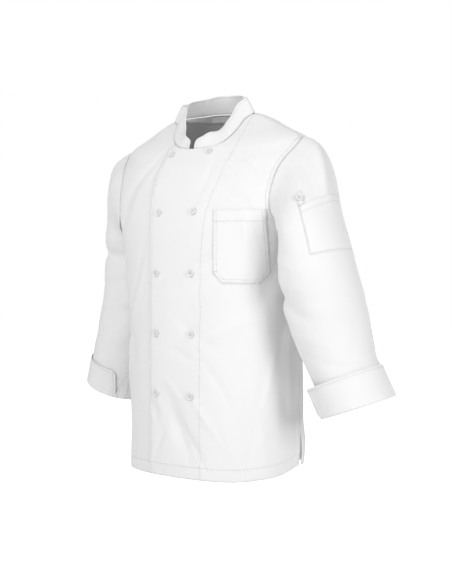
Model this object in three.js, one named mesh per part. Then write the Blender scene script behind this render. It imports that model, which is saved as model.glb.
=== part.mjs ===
import * as THREE from "three";

// A double-breasted chef jacket, filled out as worn with nobody in it.
// Millimetres, +Z up. The front faces -Y and the wearer's left is +X. The origin is the middle of the
// neck, level with the shoulder seams at the collar.

const CLOTH = 1.6; // wall of a panel or sleeve
const SEAM = 0.4; // gap between two pieces at a seam
const COLLAR_WALL = 2.4; // two cloths and their interlining
const OVERLAP_LIFT = 2.6; // how far the left front stands off the right front below it
const UNDERLAP_DROP = 2.5; // how far the right front is pressed in below the left one
const OVERLAP_FADE = { from: 26, to: 62 }; // degrees round the body over which that lift runs out
const VENT = { height: 75, opening: 3.4 }; // side vent: its height, and the degrees that it opens at the hem
const SHOULDER_TIP_Z = -61;
const NECK_SIDE_X = 92;
const RIGHT_EDGE_X = 62; // hidden front edge of the right front

const COLLAR = { height: 41, tipHeight: 25, tipRadius: 13, rise: 48, notch: 5, seam: 0.8, columns: 32 };
const CUFF = { height: 57, wall: 2, clearance: 2.2, columns: 32 };
const CUFF_SLIT = { halfWidth: 9, corner: 11, left: 5 }; // left: the height it is cut down to
const SLIT_ROUND = { left: 0.07, right: 0.142 };
const CHEST_POCKET = { top: -213, height: 150, width: 120, corner: 22, wall: 1.2, clearance: 0.9 };
const POCKET_SIDES = { left: [36.6, 36.4], right: [66, 71] }; // degrees round the body, top and bottom
const SLEEVE_POCKET = { top: 115, height: 91, from: 0.333, width: 105, wall: 1.2, clearance: 0.8 };
const TAB = { width: 12, height: 24, wall: 1.2, rows: 4 };
const SLEEVE_BUTTON_RISE = 15; // its middle above the sleeve pocket's top
const ARM_GIRTH = 490; // turns a length round a sleeve into a part of the way round
const HEAD_LENGTH = 150; // the sleeve from its armhole to its first ring
const END_HANG = { depth: 6, from: 300, to: 470 }; // how much lower a sleeve's end hangs on one side
const NECK_TAPE = { height: 10, wall: 0.9, from: 138, to: 222, clearance: 1, slack: 2.4 };
const NECK_LABEL = { width: 36, height: 24, wall: 0.8, drop: 5 };
const BUTTON = { radius: 7.8, height: 3.2, rim: 1.7, dish: 0.7, clearance: 0.35, sides: 12 };
const BUTTON_ROWS = { first: -87.3, pitch: 126.9, count: 5, firstHalfSpacing: 50.7, halfSpacing: 46.3 };

const WHITE = { color: 0xf3f4f6, roughness: 0.86, metalness: 0 };
const BUTTON_WHITE = { color: 0xf6f6f4, roughness: 0.35, metalness: 0 };

// A table is read by the names of its columns.
function table(names, rows) {
  const columns = names.split(" ");
  return Object.fromEntries(columns.map((name, c) => [name, rows.map((row) => row[c])]));
}

// Horizontal sections of the body. Half widths and depths are measured from the z axis.
const BODY = table("z halfWidth front back power", [
  [-790, 200, 143, 149, 2.25],
  [-764, 200, 143, 148, 2.25],
  [-640, 200, 142, 143, 2.25],
  [-540, 201, 142, 136, 2.25],
  [-440, 206, 142, 131, 2.25],
  [-342, 216, 141, 133, 2.25],
  [-290, 223, 139, 137, 2.25],
  [-252, 230, 137, 139, 2.3],
  [-215, 244, 132, 140, 2.3],
  [-160, 255, 115, 139, 2.35],
  [-116, 252, 98, 134, 2.3],
  [-88, 243, 84.5, 129, 2.15],
  [-78, 240, 79.5, 126, 2.1],
  [-61, 236, 66, 121, 2],
  [-50, 210, 56, 117, 2],
  [-36, 182, 44, 110, 2],
  [-16, 146, 26, 98, 2],
  [-3, 112, 14, 89, 2],
  [-1, 92, 12, 88, 2],
  [5, 88, 10, 82, 2],
  [10, 84, 9, 75, 2],
  [12, 80, 9, 70, 2],
  [18, 74, 9, 60, 2],
]);

// Height of the neckline round the neck, by the angle from the centre front, and how far in the
// collar's top leans there.
const NECKLINE = table("angle z lean", [
  [-180, 12, 9],
  [-150, 10, 14],
  [-127, 4, 20],
  [-100, 1, 20],
  [-90, -2, 21],
  [-80, -12, 23],
  [-68, -30, 24],
  [-60, -42, 25],
  [-47, -57, 24],
  [-35, -68, 20],
  [-18, -77, 12],
  [0, -79.5, 9],
  [20, -80, 12],
  [35, -78, 22],
  [47, -69, 28],
  [60, -50, 26],
  [68, -36, 26],
  [80, -14, 23],
  [90, -2, 21],
  [100, 1, 20],
  [127, 4, 20],
  [150, 10, 14],
  [180, 12, 9],
]);

// Height of the hem round the body. It hangs a little lower on the wearer's right.
const HEM = table("angle z", [
  [-100, -772],
  [-60, -770],
  [0, -767],
  [45, -768],
  [75, -761],
  [100, -747],
  [130, -752],
  [180, -760],
  [230, -768],
  [260, -772],
]);

// The edge of the left front where it laps over the right one.
const LAP_EDGE = table("z x", [
  [-764, -67],
  [-480, -66],
  [-300, -66],
  [-215, -73],
  [-162, -80],
  [-110, -72],
  [-76, -63],
]);

// The armhole from under the arm, up its front to the shoulder tip and down its back.
const ARMHOLE = table("angle z", [
  [94, -254],
  [78, -247],
  [69.5, -226],
  [67.5, -194],
  [69.5, -155],
  [74.5, -117],
  [81, -90],
  [90, SHOULDER_TIP_Z],
  [99, -90],
  [107, -119],
  [112, -158],
  [113, -196],
  [110.5, -226],
  [104, -246],
]);

// Rings of a sleeve below its head: where each is, how far its plane tilts up outwards, and its reach
// outwards, inwards, to the front and to the back. The last one lies past the wrist.
const LEFT_ARM = table("z x y tilt out in front back", [
  [-262, 271, -42, 20, 70, 38, 84, 80],
  [-333, 289, -47, 17, 76, 59, 83, 86],
  [-408, 305, -36, 15, 78, 72, 83, 84],
  [-480, 320, -26, 16, 76, 70, 74, 78],
  [-545, 338, -17, 23, 74, 71, 71, 74],
  [-604, 365, -10, 22, 73, 73, 74, 73],
  [-615, 371, -9, 22, 73, 73, 74, 73],
]);
const RIGHT_ARM = table("z x y tilt out in front back", [
  [-262, 268, 42, 16, 72, 36, 74, 78],
  [-333, 284, 60, 12, 74, 64, 76, 78],
  [-408, 292, 64, 11, 75, 73, 76, 78],
  [-480, 309, 60, 13, 75, 74, 75, 77],
  [-545, 320, 55, 16, 74, 74, 75, 76],
  [-614, 334, 51, 17, 73, 73, 74, 74],
  [-626, 336, 50, 17, 73, 73, 74, 74],
]);
const WRIST_Z = { left: -604, right: -614 };

// Large soft folds of the body: where, which way they run, half length, half width and height.
const BODY_FOLDS = table("angle z tilt length width height", [
  [8, -672, -30, 62, 20, -7],
  [-20, -630, -25, 30, 11, -3],
  [20, -430, 60, 50, 24, -4],
  [-58, -470, -25, 60, 18, -6],
  [-66, -560, 15, 70, 16, 5],
  [74, -330, 20, 70, 20, -6],
  [58, -196, -30, 40, 20, 3],
  [-58, -190, 8, 44, 15, -5],
  [150, -420, 8, 130, 26, -6],
  [205, -400, -10, 140, 26, -5],
  [178, -250, 0, 120, 34, -4],
  [120, -620, -10, 110, 24, 5],
  [-118, -600, 12, 110, 24, 5],
  [108, -340, 30, 60, 18, 6],
  [-110, -330, -25, 60, 18, 6],
]);

// Folds of a sleeve: part of the way round, way down the arm, tilt, half length, half width and height.
const LEFT_ARM_FOLDS = table("round along tilt length width height", [
  [0.05, 250, 70, 90, 15, -8],
  [0.2, 300, 55, 60, 15, -5],
  [0.92, 330, 100, 80, 18, -6],
  [0.3, 470, 75, 60, 20, -4],
  [0.62, 420, 80, 80, 22, -4],
  [0.47, 60, 0, 50, 12, 4],
]);
const RIGHT_ARM_FOLDS = table("round along tilt length width height", [
  [0.3, 190, 85, 90, 13, -8],
  [0.12, 300, 70, 70, 16, -5],
  [0.3, 360, 60, 60, 18, -4],
  [0.9, 330, 100, 80, 18, -6],
  [0.62, 420, 80, 80, 22, -4],
  [0.47, 60, 0, 50, 12, 4],
]);

const degrees = THREE.MathUtils.degToRad;
const lerp = THREE.MathUtils.lerp;
const clamp01 = (value) => Math.min(1, Math.max(0, value));
const range = (count) => Array.from({ length: count }, (_, i) => i);
const spread = (from, to, steps) => range(steps + 1).map((i) => lerp(from, to, i / steps));
const easeBetween = (value, from, to) => THREE.MathUtils.smoothstep(value, from, to);

// A smooth curve through one column of a table, with no overshoot between its rows.
function read(from, key, column, at) {
  const xs = from[key];
  const ys = from[column];
  const last = xs.length - 1;
  const x = Math.min(xs[last], Math.max(xs[0], at));
  const i = Math.min(last - 1, xs.findLastIndex((value) => value <= x));
  const slope = (k) => (ys[k + 1] - ys[k]) / (xs[k + 1] - xs[k]);
  const tangent = (k) => {
    if (k === 0) return slope(0);
    if (k === last) return slope(last - 1);
    const before = slope(k - 1);
    const after = slope(k);
    return before * after <= 0 ? 0 : (2 * before * after) / (before + after);
  };
  const width = xs[i + 1] - xs[i];
  const t = (x - xs[i]) / width;
  const blend = t * t * (3 - 2 * t);
  return (
    ys[i] * (1 - blend) +
    ys[i + 1] * blend +
    width * t * (1 - t) * (tangent(i) * (1 - t) - tangent(i + 1) * t)
  );
}

// Sum of the soft folds near a place given by a length round the piece and a length down it.
function foldHeight(folds, across, down, roundScale, downKey) {
  let height = 0;
  for (const i of range(folds.height.length)) {
    const side = across(i) * roundScale;
    const below = down - folds[downKey][i];
    const turn = degrees(folds.tilt[i]);
    const alongFold = below * Math.cos(turn) + side * Math.sin(turn);
    const acrossFold = side * Math.cos(turn) - below * Math.sin(turn);
    const reach = (alongFold / folds.length[i]) ** 2 + (acrossFold / folds.width[i]) ** 2;
    height += folds.height[i] * Math.exp(-reach);
  }
  return height;
}

// Angles are degrees round the z axis, from the centre front towards the wearer's left.
const turned = (angle) => ((((angle + 180) % 360) + 360) % 360) - 180;

function bodyRadius(angle, z) {
  const power = read(BODY, "z", "power", z);
  const side = Math.abs(Math.sin(degrees(angle))) / read(BODY, "z", "halfWidth", z);
  const facing = Math.cos(degrees(angle));
  const depth = read(BODY, "z", facing > 0 ? "front" : "back", z);
  return (side ** power + (Math.abs(facing) / depth) ** power) ** (-1 / power);
}

function bodySkin(angle, z) {
  const radius = bodyRadius(angle, z);
  return new THREE.Vector3(radius * Math.sin(degrees(angle)), -radius * Math.cos(degrees(angle)), z);
}

function bodyNormal(angle, z) {
  const round = bodySkin(angle + 0.6, z).sub(bodySkin(angle - 0.6, z));
  const up = bodySkin(angle, z + 0.6).sub(bodySkin(angle, z - 0.6));
  return round.cross(up).normalize();
}

const FOLD_RADIUS = 170; // body radius that turns degrees into a length for the folds

function bodyPoint(angle, z, lift) {
  const fade = 1 - easeBetween(z, -150, -60);
  const across = (i) => turned(angle - BODY_FOLDS.angle[i]);
  const fold = foldHeight(BODY_FOLDS, across, z, degrees(FOLD_RADIUS), "z");
  return bodySkin(angle, z).addScaledVector(bodyNormal(angle, z), lift + fold * fade);
}

// Angle at which the front of the body has a given x.
function angleAtX(x, z) {
  const power = read(BODY, "z", "power", z);
  const halfWidth = read(BODY, "z", "halfWidth", z);
  const depth = read(BODY, "z", "front", z) * (1 - Math.abs(x / halfWidth) ** power) ** (1 / power);
  return THREE.MathUtils.radToDeg(Math.atan2(x, depth));
}

// Height at which the shoulder ridge has a given x.
function shoulderHeight(x) {
  let low = SHOULDER_TIP_Z;
  let high = read(NECKLINE, "angle", "z", 90);
  for (const _ of range(24)) {
    const middle = (low + high) / 2;
    if (read(BODY, "z", "halfWidth", middle) > x) low = middle;
    else high = middle;
  }
  return (low + high) / 2;
}

const armholeLoop = new THREE.CatmullRomCurve3(
  ARMHOLE.angle.map((angle, i) => new THREE.Vector3(angle, ARMHOLE.z[i], 0)),
  true,
  "catmullrom",
);
function armhole(round) {
  const at = armholeLoop.getPoint(((round % 1) + 1) % 1);
  return { angle: at.x, z: at.y };
}

const UNDERARM = { angle: ARMHOLE.angle[0], z: ARMHOLE.z[0] };
const SIDE_SEAM_HEM_ANGLE = 100;

// The side of a panel, from the hem up the side seam, the armhole and the shoulder seam to the neck.
// The sign is 1 for the front, whose armhole runs up the front, and -1 for the back.
const SIDE_PARTS = { armhole: 0.62, shoulder: 0.86 };
function panelSide(v, sign, hemZ) {
  if (v <= SIDE_PARTS.armhole) {
    const t = v / SIDE_PARTS.armhole;
    const z = lerp(hemZ, UNDERARM.z, t);
    const seam = lerp(SIDE_SEAM_HEM_ANGLE, UNDERARM.angle, easeBetween(t, 0.2, 1));
    const open = clamp01((hemZ + VENT.height - z) / VENT.height);
    return { angle: seam - sign * (VENT.opening / 2) * open ** 0.8, z };
  }
  if (v <= SIDE_PARTS.shoulder) {
    const t = (v - SIDE_PARTS.armhole) / (SIDE_PARTS.shoulder - SIDE_PARTS.armhole);
    return armhole(sign * t * 0.5);
  }
  const t = (v - SIDE_PARTS.shoulder) / (1 - SIDE_PARTS.shoulder);
  const x = lerp(read(BODY, "z", "halfWidth", SHOULDER_TIP_Z), NECK_SIDE_X, t);
  return { angle: 90, z: t === 0 ? SHOULDER_TIP_Z : shoulderHeight(x) };
}

const hemAt = (angle) => read(HEM, "angle", "z", angle < -100 ? angle + 360 : angle);
const LEFT_HEM_Z = hemAt(SIDE_SEAM_HEM_ANGLE);
const RIGHT_HEM_Z = hemAt(-SIDE_SEAM_HEM_ANGLE);
const mirrored = ({ angle, z }) => ({ angle: -angle, z });
const shifted = ({ angle, z }, by) => ({ angle: angle + by, z });
const neckAt = (angle) => ({ angle, z: read(NECKLINE, "angle", "z", turned(angle)) });

// Height of a front edge's point that belongs with a height on the panel's side.
const FRONT_HEIGHTS = table("v z", [
  [0, -768],
  [SIDE_PARTS.armhole, -345],
  [SIDE_PARTS.shoulder, -132],
  [1, -75],
]);
function frontEdge(v, edgeX) {
  const z = read(FRONT_HEIGHTS, "v", "z", v);
  return { angle: angleAtX(edgeX(z), z), z };
}

// A panel between four edges, blended across both ways and evened out along each row.
function panel({ start, end, top, sag, rows, columns, lift }) {
  const mix = (a, b, t) => ({ angle: lerp(a.angle, b.angle, t), z: lerp(a.z, b.z, t) });
  const place = (u, v) => {
    const row = mix(start(v), end(v), u);
    const chord = mix(start(1), end(1), u);
    const edge = top(u);
    const weight = v ** 5;
    const foot = mix(start(0), end(0), u);
    const dip = sag(v) * 4 * u * (1 - u) + (1 - v) ** 5 * (foot.z - hemAt(foot.angle));
    const angle = row.angle + weight * (edge.angle - chord.angle);
    return { angle, z: row.z + weight * (edge.z - chord.z) - dip };
  };
  const even = (v) => {
    const samples = spread(0, 1, 90);
    const lengths = [0];
    let before = null;
    for (const u of samples) {
      const at = place(u, v);
      const here = bodySkin(at.angle, at.z);
      if (before) lengths.push(lengths.at(-1) + here.distanceTo(before));
      before = here;
    }
    return spread(0, lengths.at(-1), columns).map((length) => {
      const i = Math.min(samples.length - 2, Math.max(0, lengths.findIndex((l) => l >= length) - 1));
      const part = (length - lengths[i]) / (lengths[i + 1] - lengths[i]);
      return lerp(samples[i], samples[i + 1], clamp01(part));
    });
  };
  const grid = rows.map((v) => even(v).map((u) => place(u, v)));
  const at = (extra) => grid.map((row) => row.map((p) => bodyPoint(p.angle, p.z, lift(p.angle) + extra)));
  return wall(inset(at(CLOTH)), inset(at(0)));
}

// Draws the outline of a grid of points in by half a seam's gap.
function inset(grid) {
  const rows = grid.length - 1;
  const columns = grid[0].length - 1;
  const pull = (from, to) => from.addScaledVector(to.clone().sub(from).normalize(), SEAM / 2);
  for (const row of grid) {
    pull(row[0], row[1]);
    pull(row[columns], row[columns - 1]);
  }
  for (const j of range(columns + 1)) {
    pull(grid[0][j], grid[1][j]);
    pull(grid[rows][j], grid[rows - 1][j]);
  }
  return grid;
}

// A closed solid from its points and faces, turned so that its faces point out.
function solid(points, faces) {
  let volume = 0;
  for (const [a, b, c] of faces) volume += points[a].dot(points[b].clone().cross(points[c]));
  const index = volume > 0 ? faces.flat() : faces.flatMap(([a, b, c]) => [a, c, b]);
  const geometry = new THREE.BufferGeometry().setFromPoints(points);
  geometry.setIndex(index);
  geometry.computeVertexNormals();
  return geometry;
}

const quad = (a, b, c, d) => [
  [a, b, c],
  [a, c, d],
];

// A sheet with a wall: the outer and the inner grid, joined round their outline. The rows of a closed
// sheet run all the way round.
function wall(outer, inner, closed = false) {
  const rows = outer.length - 1;
  const points = outer[0].length;
  const columns = closed ? points : points - 1;
  const out = (i, j) => i * points + (j % points);
  const under = (i, j) => out(i, j) + (rows + 1) * points;
  const gap = (i, j, k, l) => outer[i][j % points].distanceTo(outer[k][l % points]);
  const faces = [];
  for (const i of range(rows)) {
    for (const j of range(columns)) {
      const rising = gap(i, j, i + 1, j + 1) < gap(i, j + 1, i + 1, j);
      const corners = [[i, j], [i, j + 1], [i + 1, j + 1], [i + 1, j]];
      const turn = rising ? corners : [...corners.slice(1), corners[0]];
      faces.push(...quad(...turn.map((corner) => out(...corner))));
      faces.push(...quad(...[turn[0], turn[3], turn[2], turn[1]].map((corner) => under(...corner))));
    }
  }
  const rim = (a, b) => faces.push(...quad(out(...b), out(...a), under(...a), under(...b)));
  for (const j of range(columns)) {
    rim([0, j], [0, j + 1]);
    rim([rows, j + 1], [rows, j]);
  }
  for (const i of range(closed ? 0 : rows)) {
    rim([i, columns], [i + 1, columns]);
    rim([i + 1, 0], [i, 0]);
  }
  return solid([...outer.flat(), ...inner.flat()], faces);
}

// A closed section carried round a closed way: each entry of the list is one section's points.
function ringOfSections(sections) {
  const count = sections.length;
  const around = sections[0].length;
  const at = (i, j) => (i % count) * around + (j % around);
  const faces = [];
  for (const i of range(count)) {
    for (const j of range(around)) {
      faces.push(...quad(at(i, j), at(i, j + 1), at(i + 1, j + 1), at(i + 1, j)));
    }
  }
  return solid(sections.flat(), faces);
}

const BACK_DIP = 60;

// How far a panel of the left front stands off the body.
const lapLift = (angle) =>
  OVERLAP_LIFT * (1 - easeBetween(Math.abs(angle), OVERLAP_FADE.from, OVERLAP_FADE.to));
const lapLiftLeft = (angle) => (angle < 0 ? OVERLAP_LIFT : lapLift(angle));

const SLEEVE_COLUMNS = 24; // twice the rows of a panel along its armhole, so that their edges meet
const PANEL_ROWS = [
  ...spread(0, SIDE_PARTS.armhole, 13),
  ...spread(SIDE_PARTS.armhole, SIDE_PARTS.shoulder, SLEEVE_COLUMNS / 2).slice(1),
  ...spread(SIDE_PARTS.shoulder, 1, 5).slice(1),
];

function frontLeft() {
  const start = (v) => frontEdge(v, (z) => read(LAP_EDGE, "z", "x", z));
  const end = (v) => panelSide(v, 1, LEFT_HEM_Z);
  const top = (u) => neckAt(lerp(start(1).angle, 90, u));
  return panel({ start, end, top, sag: () => 0, rows: PANEL_ROWS, columns: 14, lift: lapLiftLeft });
}

function frontRight() {
  const start = (v) => mirrored(panelSide(v, 1, RIGHT_HEM_Z));
  const end = (v) => frontEdge(v, () => RIGHT_EDGE_X);
  const top = (u) => neckAt(lerp(-90, end(1).angle, u));
  // Below the left front it is pressed in a little.
  const lift = (angle) => -UNDERLAP_DROP * easeBetween(angle, -26, -14);
  return panel({ start, end, top, sag: () => 0, rows: PANEL_ROWS, columns: 13, lift });
}

function back() {
  const start = (v) => panelSide(v, -1, LEFT_HEM_Z);
  const end = (v) => shifted(mirrored(panelSide(v, -1, RIGHT_HEM_Z)), 360);
  const top = (u) => neckAt(lerp(90, 270, u));
  // Its rows dip between the armholes, so that they leave the armholes' edges cleanly.
  const sag = (v) => BACK_DIP * Math.sin(Math.PI * clamp01(v)) ** 2;
  return panel({ start, end, top, sag, rows: PANEL_ROWS, columns: 18, lift: () => 0 });
}

// The arms. Part of the way round a sleeve: 0 under the arm, 0.25 front, 0.5 outside, 0.75 back.
const HEAD_RINGS = 7;
const ARM_RINGS = 12;
const INNER_POWER = 2.8;

function armFrame(arm, side, z) {
  const tilt = degrees(read(arm, "z", "tilt", z));
  const centre = new THREE.Vector3(side * read(arm, "z", "x", z), read(arm, "z", "y", z), z);
  const down = new THREE.Vector3(side * Math.sin(tilt), 0, -Math.cos(tilt));
  const out = new THREE.Vector3(side * Math.cos(tilt), 0, Math.sin(tilt));
  return { centre, down, out };
}

// The tables run from the shoulder down, and are read upwards.
function upward(arm) {
  return Object.fromEntries(Object.entries(arm).map(([name, values]) => [name, [...values].reverse()]));
}

function makeArm({ rings, folds, side, endZ, bulge, hangRound }) {
  const arm = upward(rings);
  const topZ = rings.z[0];
  // The inner half of a ring is squarer than the outer half, because the body flattens it.
  const squared = (value, power) => Math.sign(value) * Math.abs(value) ** (2 / power);
  const ringPoint = (round, z, lift) => {
    const { centre, out } = armFrame(arm, side, z);
    const c = -Math.cos(2 * Math.PI * round);
    const s = Math.sin(2 * Math.PI * round);
    const power = c > 0 ? 2 : lerp(2, INNER_POWER, clamp01(2 * Math.abs(c)) * clamp01((z + 500) / 120));
    const wide = read(arm, "z", c > 0 ? "out" : "in", z) + lift;
    const deep = read(arm, "z", s > 0 ? "front" : "back", z) + lift;
    return centre
      .clone()
      .addScaledVector(out, squared(c, power) * wide)
      .addScaledVector(new THREE.Vector3(0, -1, 0), squared(s, power) * deep);
  };
  // The head runs from the armhole to the first ring.
  const start = (round) => {
    const edge = armhole(round);
    return {
      foot: bodyPoint(side * edge.angle, edge.z, 0),
      skin: bodyNormal(side * edge.angle, edge.z),
      height: (1 - Math.cos(2 * Math.PI * round)) / 2,
    };
  };
  const headCurve = (round, t) => {
    const { foot, height } = start(round);
    const to = ringPoint(round, topZ, 0);
    const reach = foot.distanceTo(to);
    const outward = new THREE.Vector3(side, 0, -0.2 - 0.9 * (1 - height)).normalize();
    const from = foot.addScaledVector(outward, SEAM * 2.5);
    const t2 = t * t;
    const t3 = t2 * t;
    return new THREE.Vector3()
      .addScaledVector(from, 2 * t3 - 3 * t2 + 1)
      .addScaledVector(outward, (t3 - 2 * t2 + t) * reach * lerp(0.6, bulge, height))
      .addScaledVector(to, 3 * t2 - 2 * t3)
      .addScaledVector(armFrame(arm, side, topZ).down, (t3 - t2) * reach * 1.1);
  };
  const headNormal = (round, t) => {
    const across = headCurve(round + 0.01, t).sub(headCurve(round - 0.01, t));
    const down = headCurve(round, Math.min(1, t + 0.02)).sub(headCurve(round, Math.max(0, t - 0.02)));
    return down.cross(across).multiplyScalar(side).normalize();
  };
  // Where the seam is a crease, the sleeve starts out on the panel's face, so that their walls clear.
  const headPoint = (round, t, lift) => {
    const { skin } = start(round);
    const crease = (1 - headNormal(round, 0).dot(skin)) / 2;
    const ringLift = ringPoint(round, topZ, lift).sub(ringPoint(round, topZ, 0));
    return headCurve(round, t)
      .addScaledVector(skin, crease * (2 * CLOTH + 4 * SEAM) * (1 - t) ** 2)
      .add(headNormal(round, t).multiplyScalar(lift).lerp(ringLift, t));
  };
  const point = (round, along, lift) => {
    const part = (i) => ((((round - folds.round[i] + 0.5) % 1) + 1) % 1) - 0.5;
    const fold = foldHeight(folds, part, along, ARM_GIRTH, "along") * easeBetween(along, 0, 40);
    const total = lift + fold * (1 - easeBetween(along, 400, 470));
    if (along <= HEAD_LENGTH) return headPoint(round, along / HEAD_LENGTH, total);
    const z = topZ - (along - HEAD_LENGTH);
    const hang = Math.cos(2 * Math.PI * (round - hangRound)) * easeBetween(along, END_HANG.from, END_HANG.to);
    return ringPoint(round, z, total).addScaledVector(armFrame(arm, side, z).down, END_HANG.depth * hang);
  };
  return { point, length: HEAD_LENGTH + (topZ - endZ) };
}

const leftArm = makeArm({
  rings: LEFT_ARM,
  folds: LEFT_ARM_FOLDS,
  side: 1,
  endZ: WRIST_Z.left,
  bulge: 0.95,
  hangRound: 0.35,
});
const rightArm = makeArm({
  rings: RIGHT_ARM,
  folds: RIGHT_ARM_FOLDS,
  side: -1,
  endZ: WRIST_Z.right,
  bulge: 1.5,
  hangRound: 0.15,
});

function sleeve(arm) {
  const head = spread(0, HEAD_LENGTH, HEAD_RINGS);
  const ways = [...head, ...spread(HEAD_LENGTH, arm.length, ARM_RINGS).slice(1)];
  const grid = (lift) =>
    ways.map((along) => range(SLEEVE_COLUMNS).map((k) => arm.point(k / SLEEVE_COLUMNS, along, lift)));
  return wall(grid(CLOTH), grid(0), true);
}

// A turned-back cuff: its outer leg stands round the sleeve, and it folds in under the sleeve's end.
// The outer leg is cut down to the fold by a slit with round corners.
function cuffHeight(distance) {
  const { halfWidth, corner, left } = CUFF_SLIT;
  const shoulder = CUFF.height - corner * 0.8;
  if (distance >= halfWidth + corner) return CUFF.height;
  if (distance <= halfWidth) return lerp(left, shoulder, distance / halfWidth);
  const t = (halfWidth + corner - distance) / corner;
  return lerp(shoulder, CUFF.height, Math.sqrt(1 - t * t));
}

function cuff(arm, slitRound) {
  const { wall: thick, clearance, columns } = CUFF;
  const near = [-22, -17, -13, -10.5, -9, -6, -3, 0, 3, 6, 9, 10.5, 13, 17, 22];
  const slitPart = near.at(-1) / ARM_GIRTH;
  const columnsAt = [
    ...near.map((distance) => ({ part: distance / ARM_GIRTH, distance: Math.abs(distance) })),
    ...spread(slitPart, 1 - slitPart, columns - near.length + 1)
      .slice(1, -1)
      .map((part) => ({ part, distance: CUFF.height })),
  ];
  const face = CLOTH + clearance;
  const sections = columnsAt.map(({ part, distance }) => {
    const tall = cuffHeight(distance);
    const at = (lift, up) => arm.point(slitRound + part, arm.length - up, lift);
    return [
      at(face + thick, tall),
      at(face + thick, tall * 0.5),
      at(face + thick, 0),
      at(face, -2.4),
      at(CLOTH * 0.5, -3),
      at(0, -2.2),
      at(0, -SEAM),
      at(face, -SEAM),
      at(face, tall * 0.5),
      at(face, tall),
    ];
  });
  return ringOfSections(sections);
}

// The stand collar, from its tip on the wearer's left round the back to the other tip.
function collar() {
  const { height, tipHeight, tipRadius, rise, notch, columns } = COLLAR;
  const rows = 3;
  const tip = [0, 1.2, 3, 6, 10, 15].map((angle) => notch + angle);
  const middle = spread(tip.at(-1), 360 - tip.at(-1), columns).slice(1, -1);
  const angles = [...tip, ...middle, ...tip.toReversed().map((angle) => 360 - angle)];
  const base = (angle) => {
    const { z } = neckAt(angle);
    const skin = bodyNormal(angle, z);
    const across = bodySkin(angle, z + 0.6).sub(bodySkin(angle, z - 0.6)).normalize();
    return bodySkin(angle, z).addScaledVector(skin, OVERLAP_LIFT).addScaledVector(across, COLLAR.seam);
  };
  // It grows from its tips to its full height, and each tip has a round corner.
  const tallAt = (angle) => {
    const fromCentre = turned(angle);
    if (Math.abs(fromCentre) > 60) return height;
    const d = base(angle).distanceTo(base(Math.sign(fromCentre) * notch));
    const grown = lerp(tipHeight, height, easeBetween(d, tipRadius * 0.5, rise));
    if (d >= tipRadius) return grown;
    return grown - tipRadius + Math.sqrt(tipRadius ** 2 - (tipRadius - d) ** 2);
  };
  const surface = (inward) =>
    range(rows + 1).map((i) =>
      angles.map((angle) => {
        const foot = base(angle);
        const away = new THREE.Vector3(foot.x, foot.y, 0).normalize();
        const lean = read(NECKLINE, "angle", "lean", turned(angle));
        const part = (i / rows) * (tallAt(angle) / height);
        const up = Math.sqrt(height ** 2 - lean ** 2) * part;
        return foot
          .addScaledVector(away, -lean * part - inward)
          .add(new THREE.Vector3(0, 0, up));
      }),
    );
  return wall(surface(0), surface(COLLAR_WALL));
}

// A patch that lies on the left front, from its points moved out.
function chestPocket() {
  const { top, height, width, corner, wall: thick, clearance } = CHEST_POCKET;
  const grid = (extra) =>
    spread(0, 1, 8).map((down) =>
      spread(0, 1, 8).map((across) => {
        const left = lerp(...POCKET_SIDES.left, down);
        const right = lerp(...POCKET_SIDES.right, down);
        const edge = Math.min(across, 1 - across) * width;
        const floor = top - height + Math.max(0, corner - edge);
        const z = lerp(top, floor, down);
        const angle = lerp(left, right, across);
        return bodyPoint(angle, z, lapLiftLeft(angle) + CLOTH + clearance + extra);
      }),
    );
  return wall(grid(thick), grid(0));
}

function sleevePocket() {
  const { top, height, from, width, wall: thick, clearance } = SLEEVE_POCKET;
  const grid = (extra) =>
    spread(top, top + height, 6).map((along) =>
      spread(from, from + width / ARM_GIRTH, 7).map((round) =>
        leftArm.point(round, along, CLOTH + clearance + extra),
      ),
    );
  return wall(grid(thick), grid(0));
}

// A small tab on the sleeve that runs from below its button to the pocket's corner.
function sleeveTab() {
  const { from, top, clearance } = SLEEVE_POCKET;
  const end = top - 1;
  const grid = (extra) =>
    spread(end - TAB.height, end, TAB.rows).map((along) =>
      spread(from, from + TAB.width / ARM_GIRTH, 2).map((round) =>
        leftArm.point(round, along, CLOTH + clearance + extra),
      ),
    );
  return wall(grid(TAB.wall), grid(0));
}

// The tape that covers the neck seam inside the back, and the bare label sewn below it.
function neckTape() {
  const { height, wall: thick, from, to, clearance, slack } = NECK_TAPE;
  const grid = (lift) =>
    spread(0, 1, 2).map((down) =>
      spread(from, to, 18).map((angle) =>
        bodyPoint(angle, neckAt(angle).z - 2 - height * down, lift - clearance - slack * down),
      ),
    );
  return wall(grid(0), grid(-thick));
}

function neckLabel() {
  const { height, wall: thick, width, drop } = NECK_LABEL;
  const half = THREE.MathUtils.radToDeg(width / 2 / read(BODY, "z", "back", 0));
  const outside = -NECK_TAPE.clearance - NECK_TAPE.slack - NECK_TAPE.wall - SEAM;
  const grid = (lift) =>
    spread(0, 1, 4).map((down) =>
      spread(180 - half, 180 + half, 5).map((angle) =>
        bodyPoint(angle, neckAt(180).z - drop - height * down, lift),
      ),
    );
  return wall(grid(outside), grid(outside - thick));
}

function buttonGeometry() {
  const { radius, height, rim, dish, sides } = BUTTON;
  const outline = [
    [0, 0],
    [radius - 1.2, 0],
    [radius, 1.1],
    [radius, height - 0.9],
    [radius - 0.8, height],
    [radius - rim, height],
    [radius - rim - 0.9, height - dish],
    [0, height - dish],
  ];
  const geometry = new THREE.LatheGeometry(outline.map(([x, y]) => new THREE.Vector2(x, y)), sides);
  return geometry.rotateX(Math.PI / 2);
}

const jacket = new THREE.Group();

function add(name, geometry, finish = WHITE) {
  const mesh = new THREE.Mesh(geometry, new THREE.MeshStandardMaterial(finish));
  mesh.name = name;
  jacket.add(mesh);
  return mesh;
}

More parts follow.
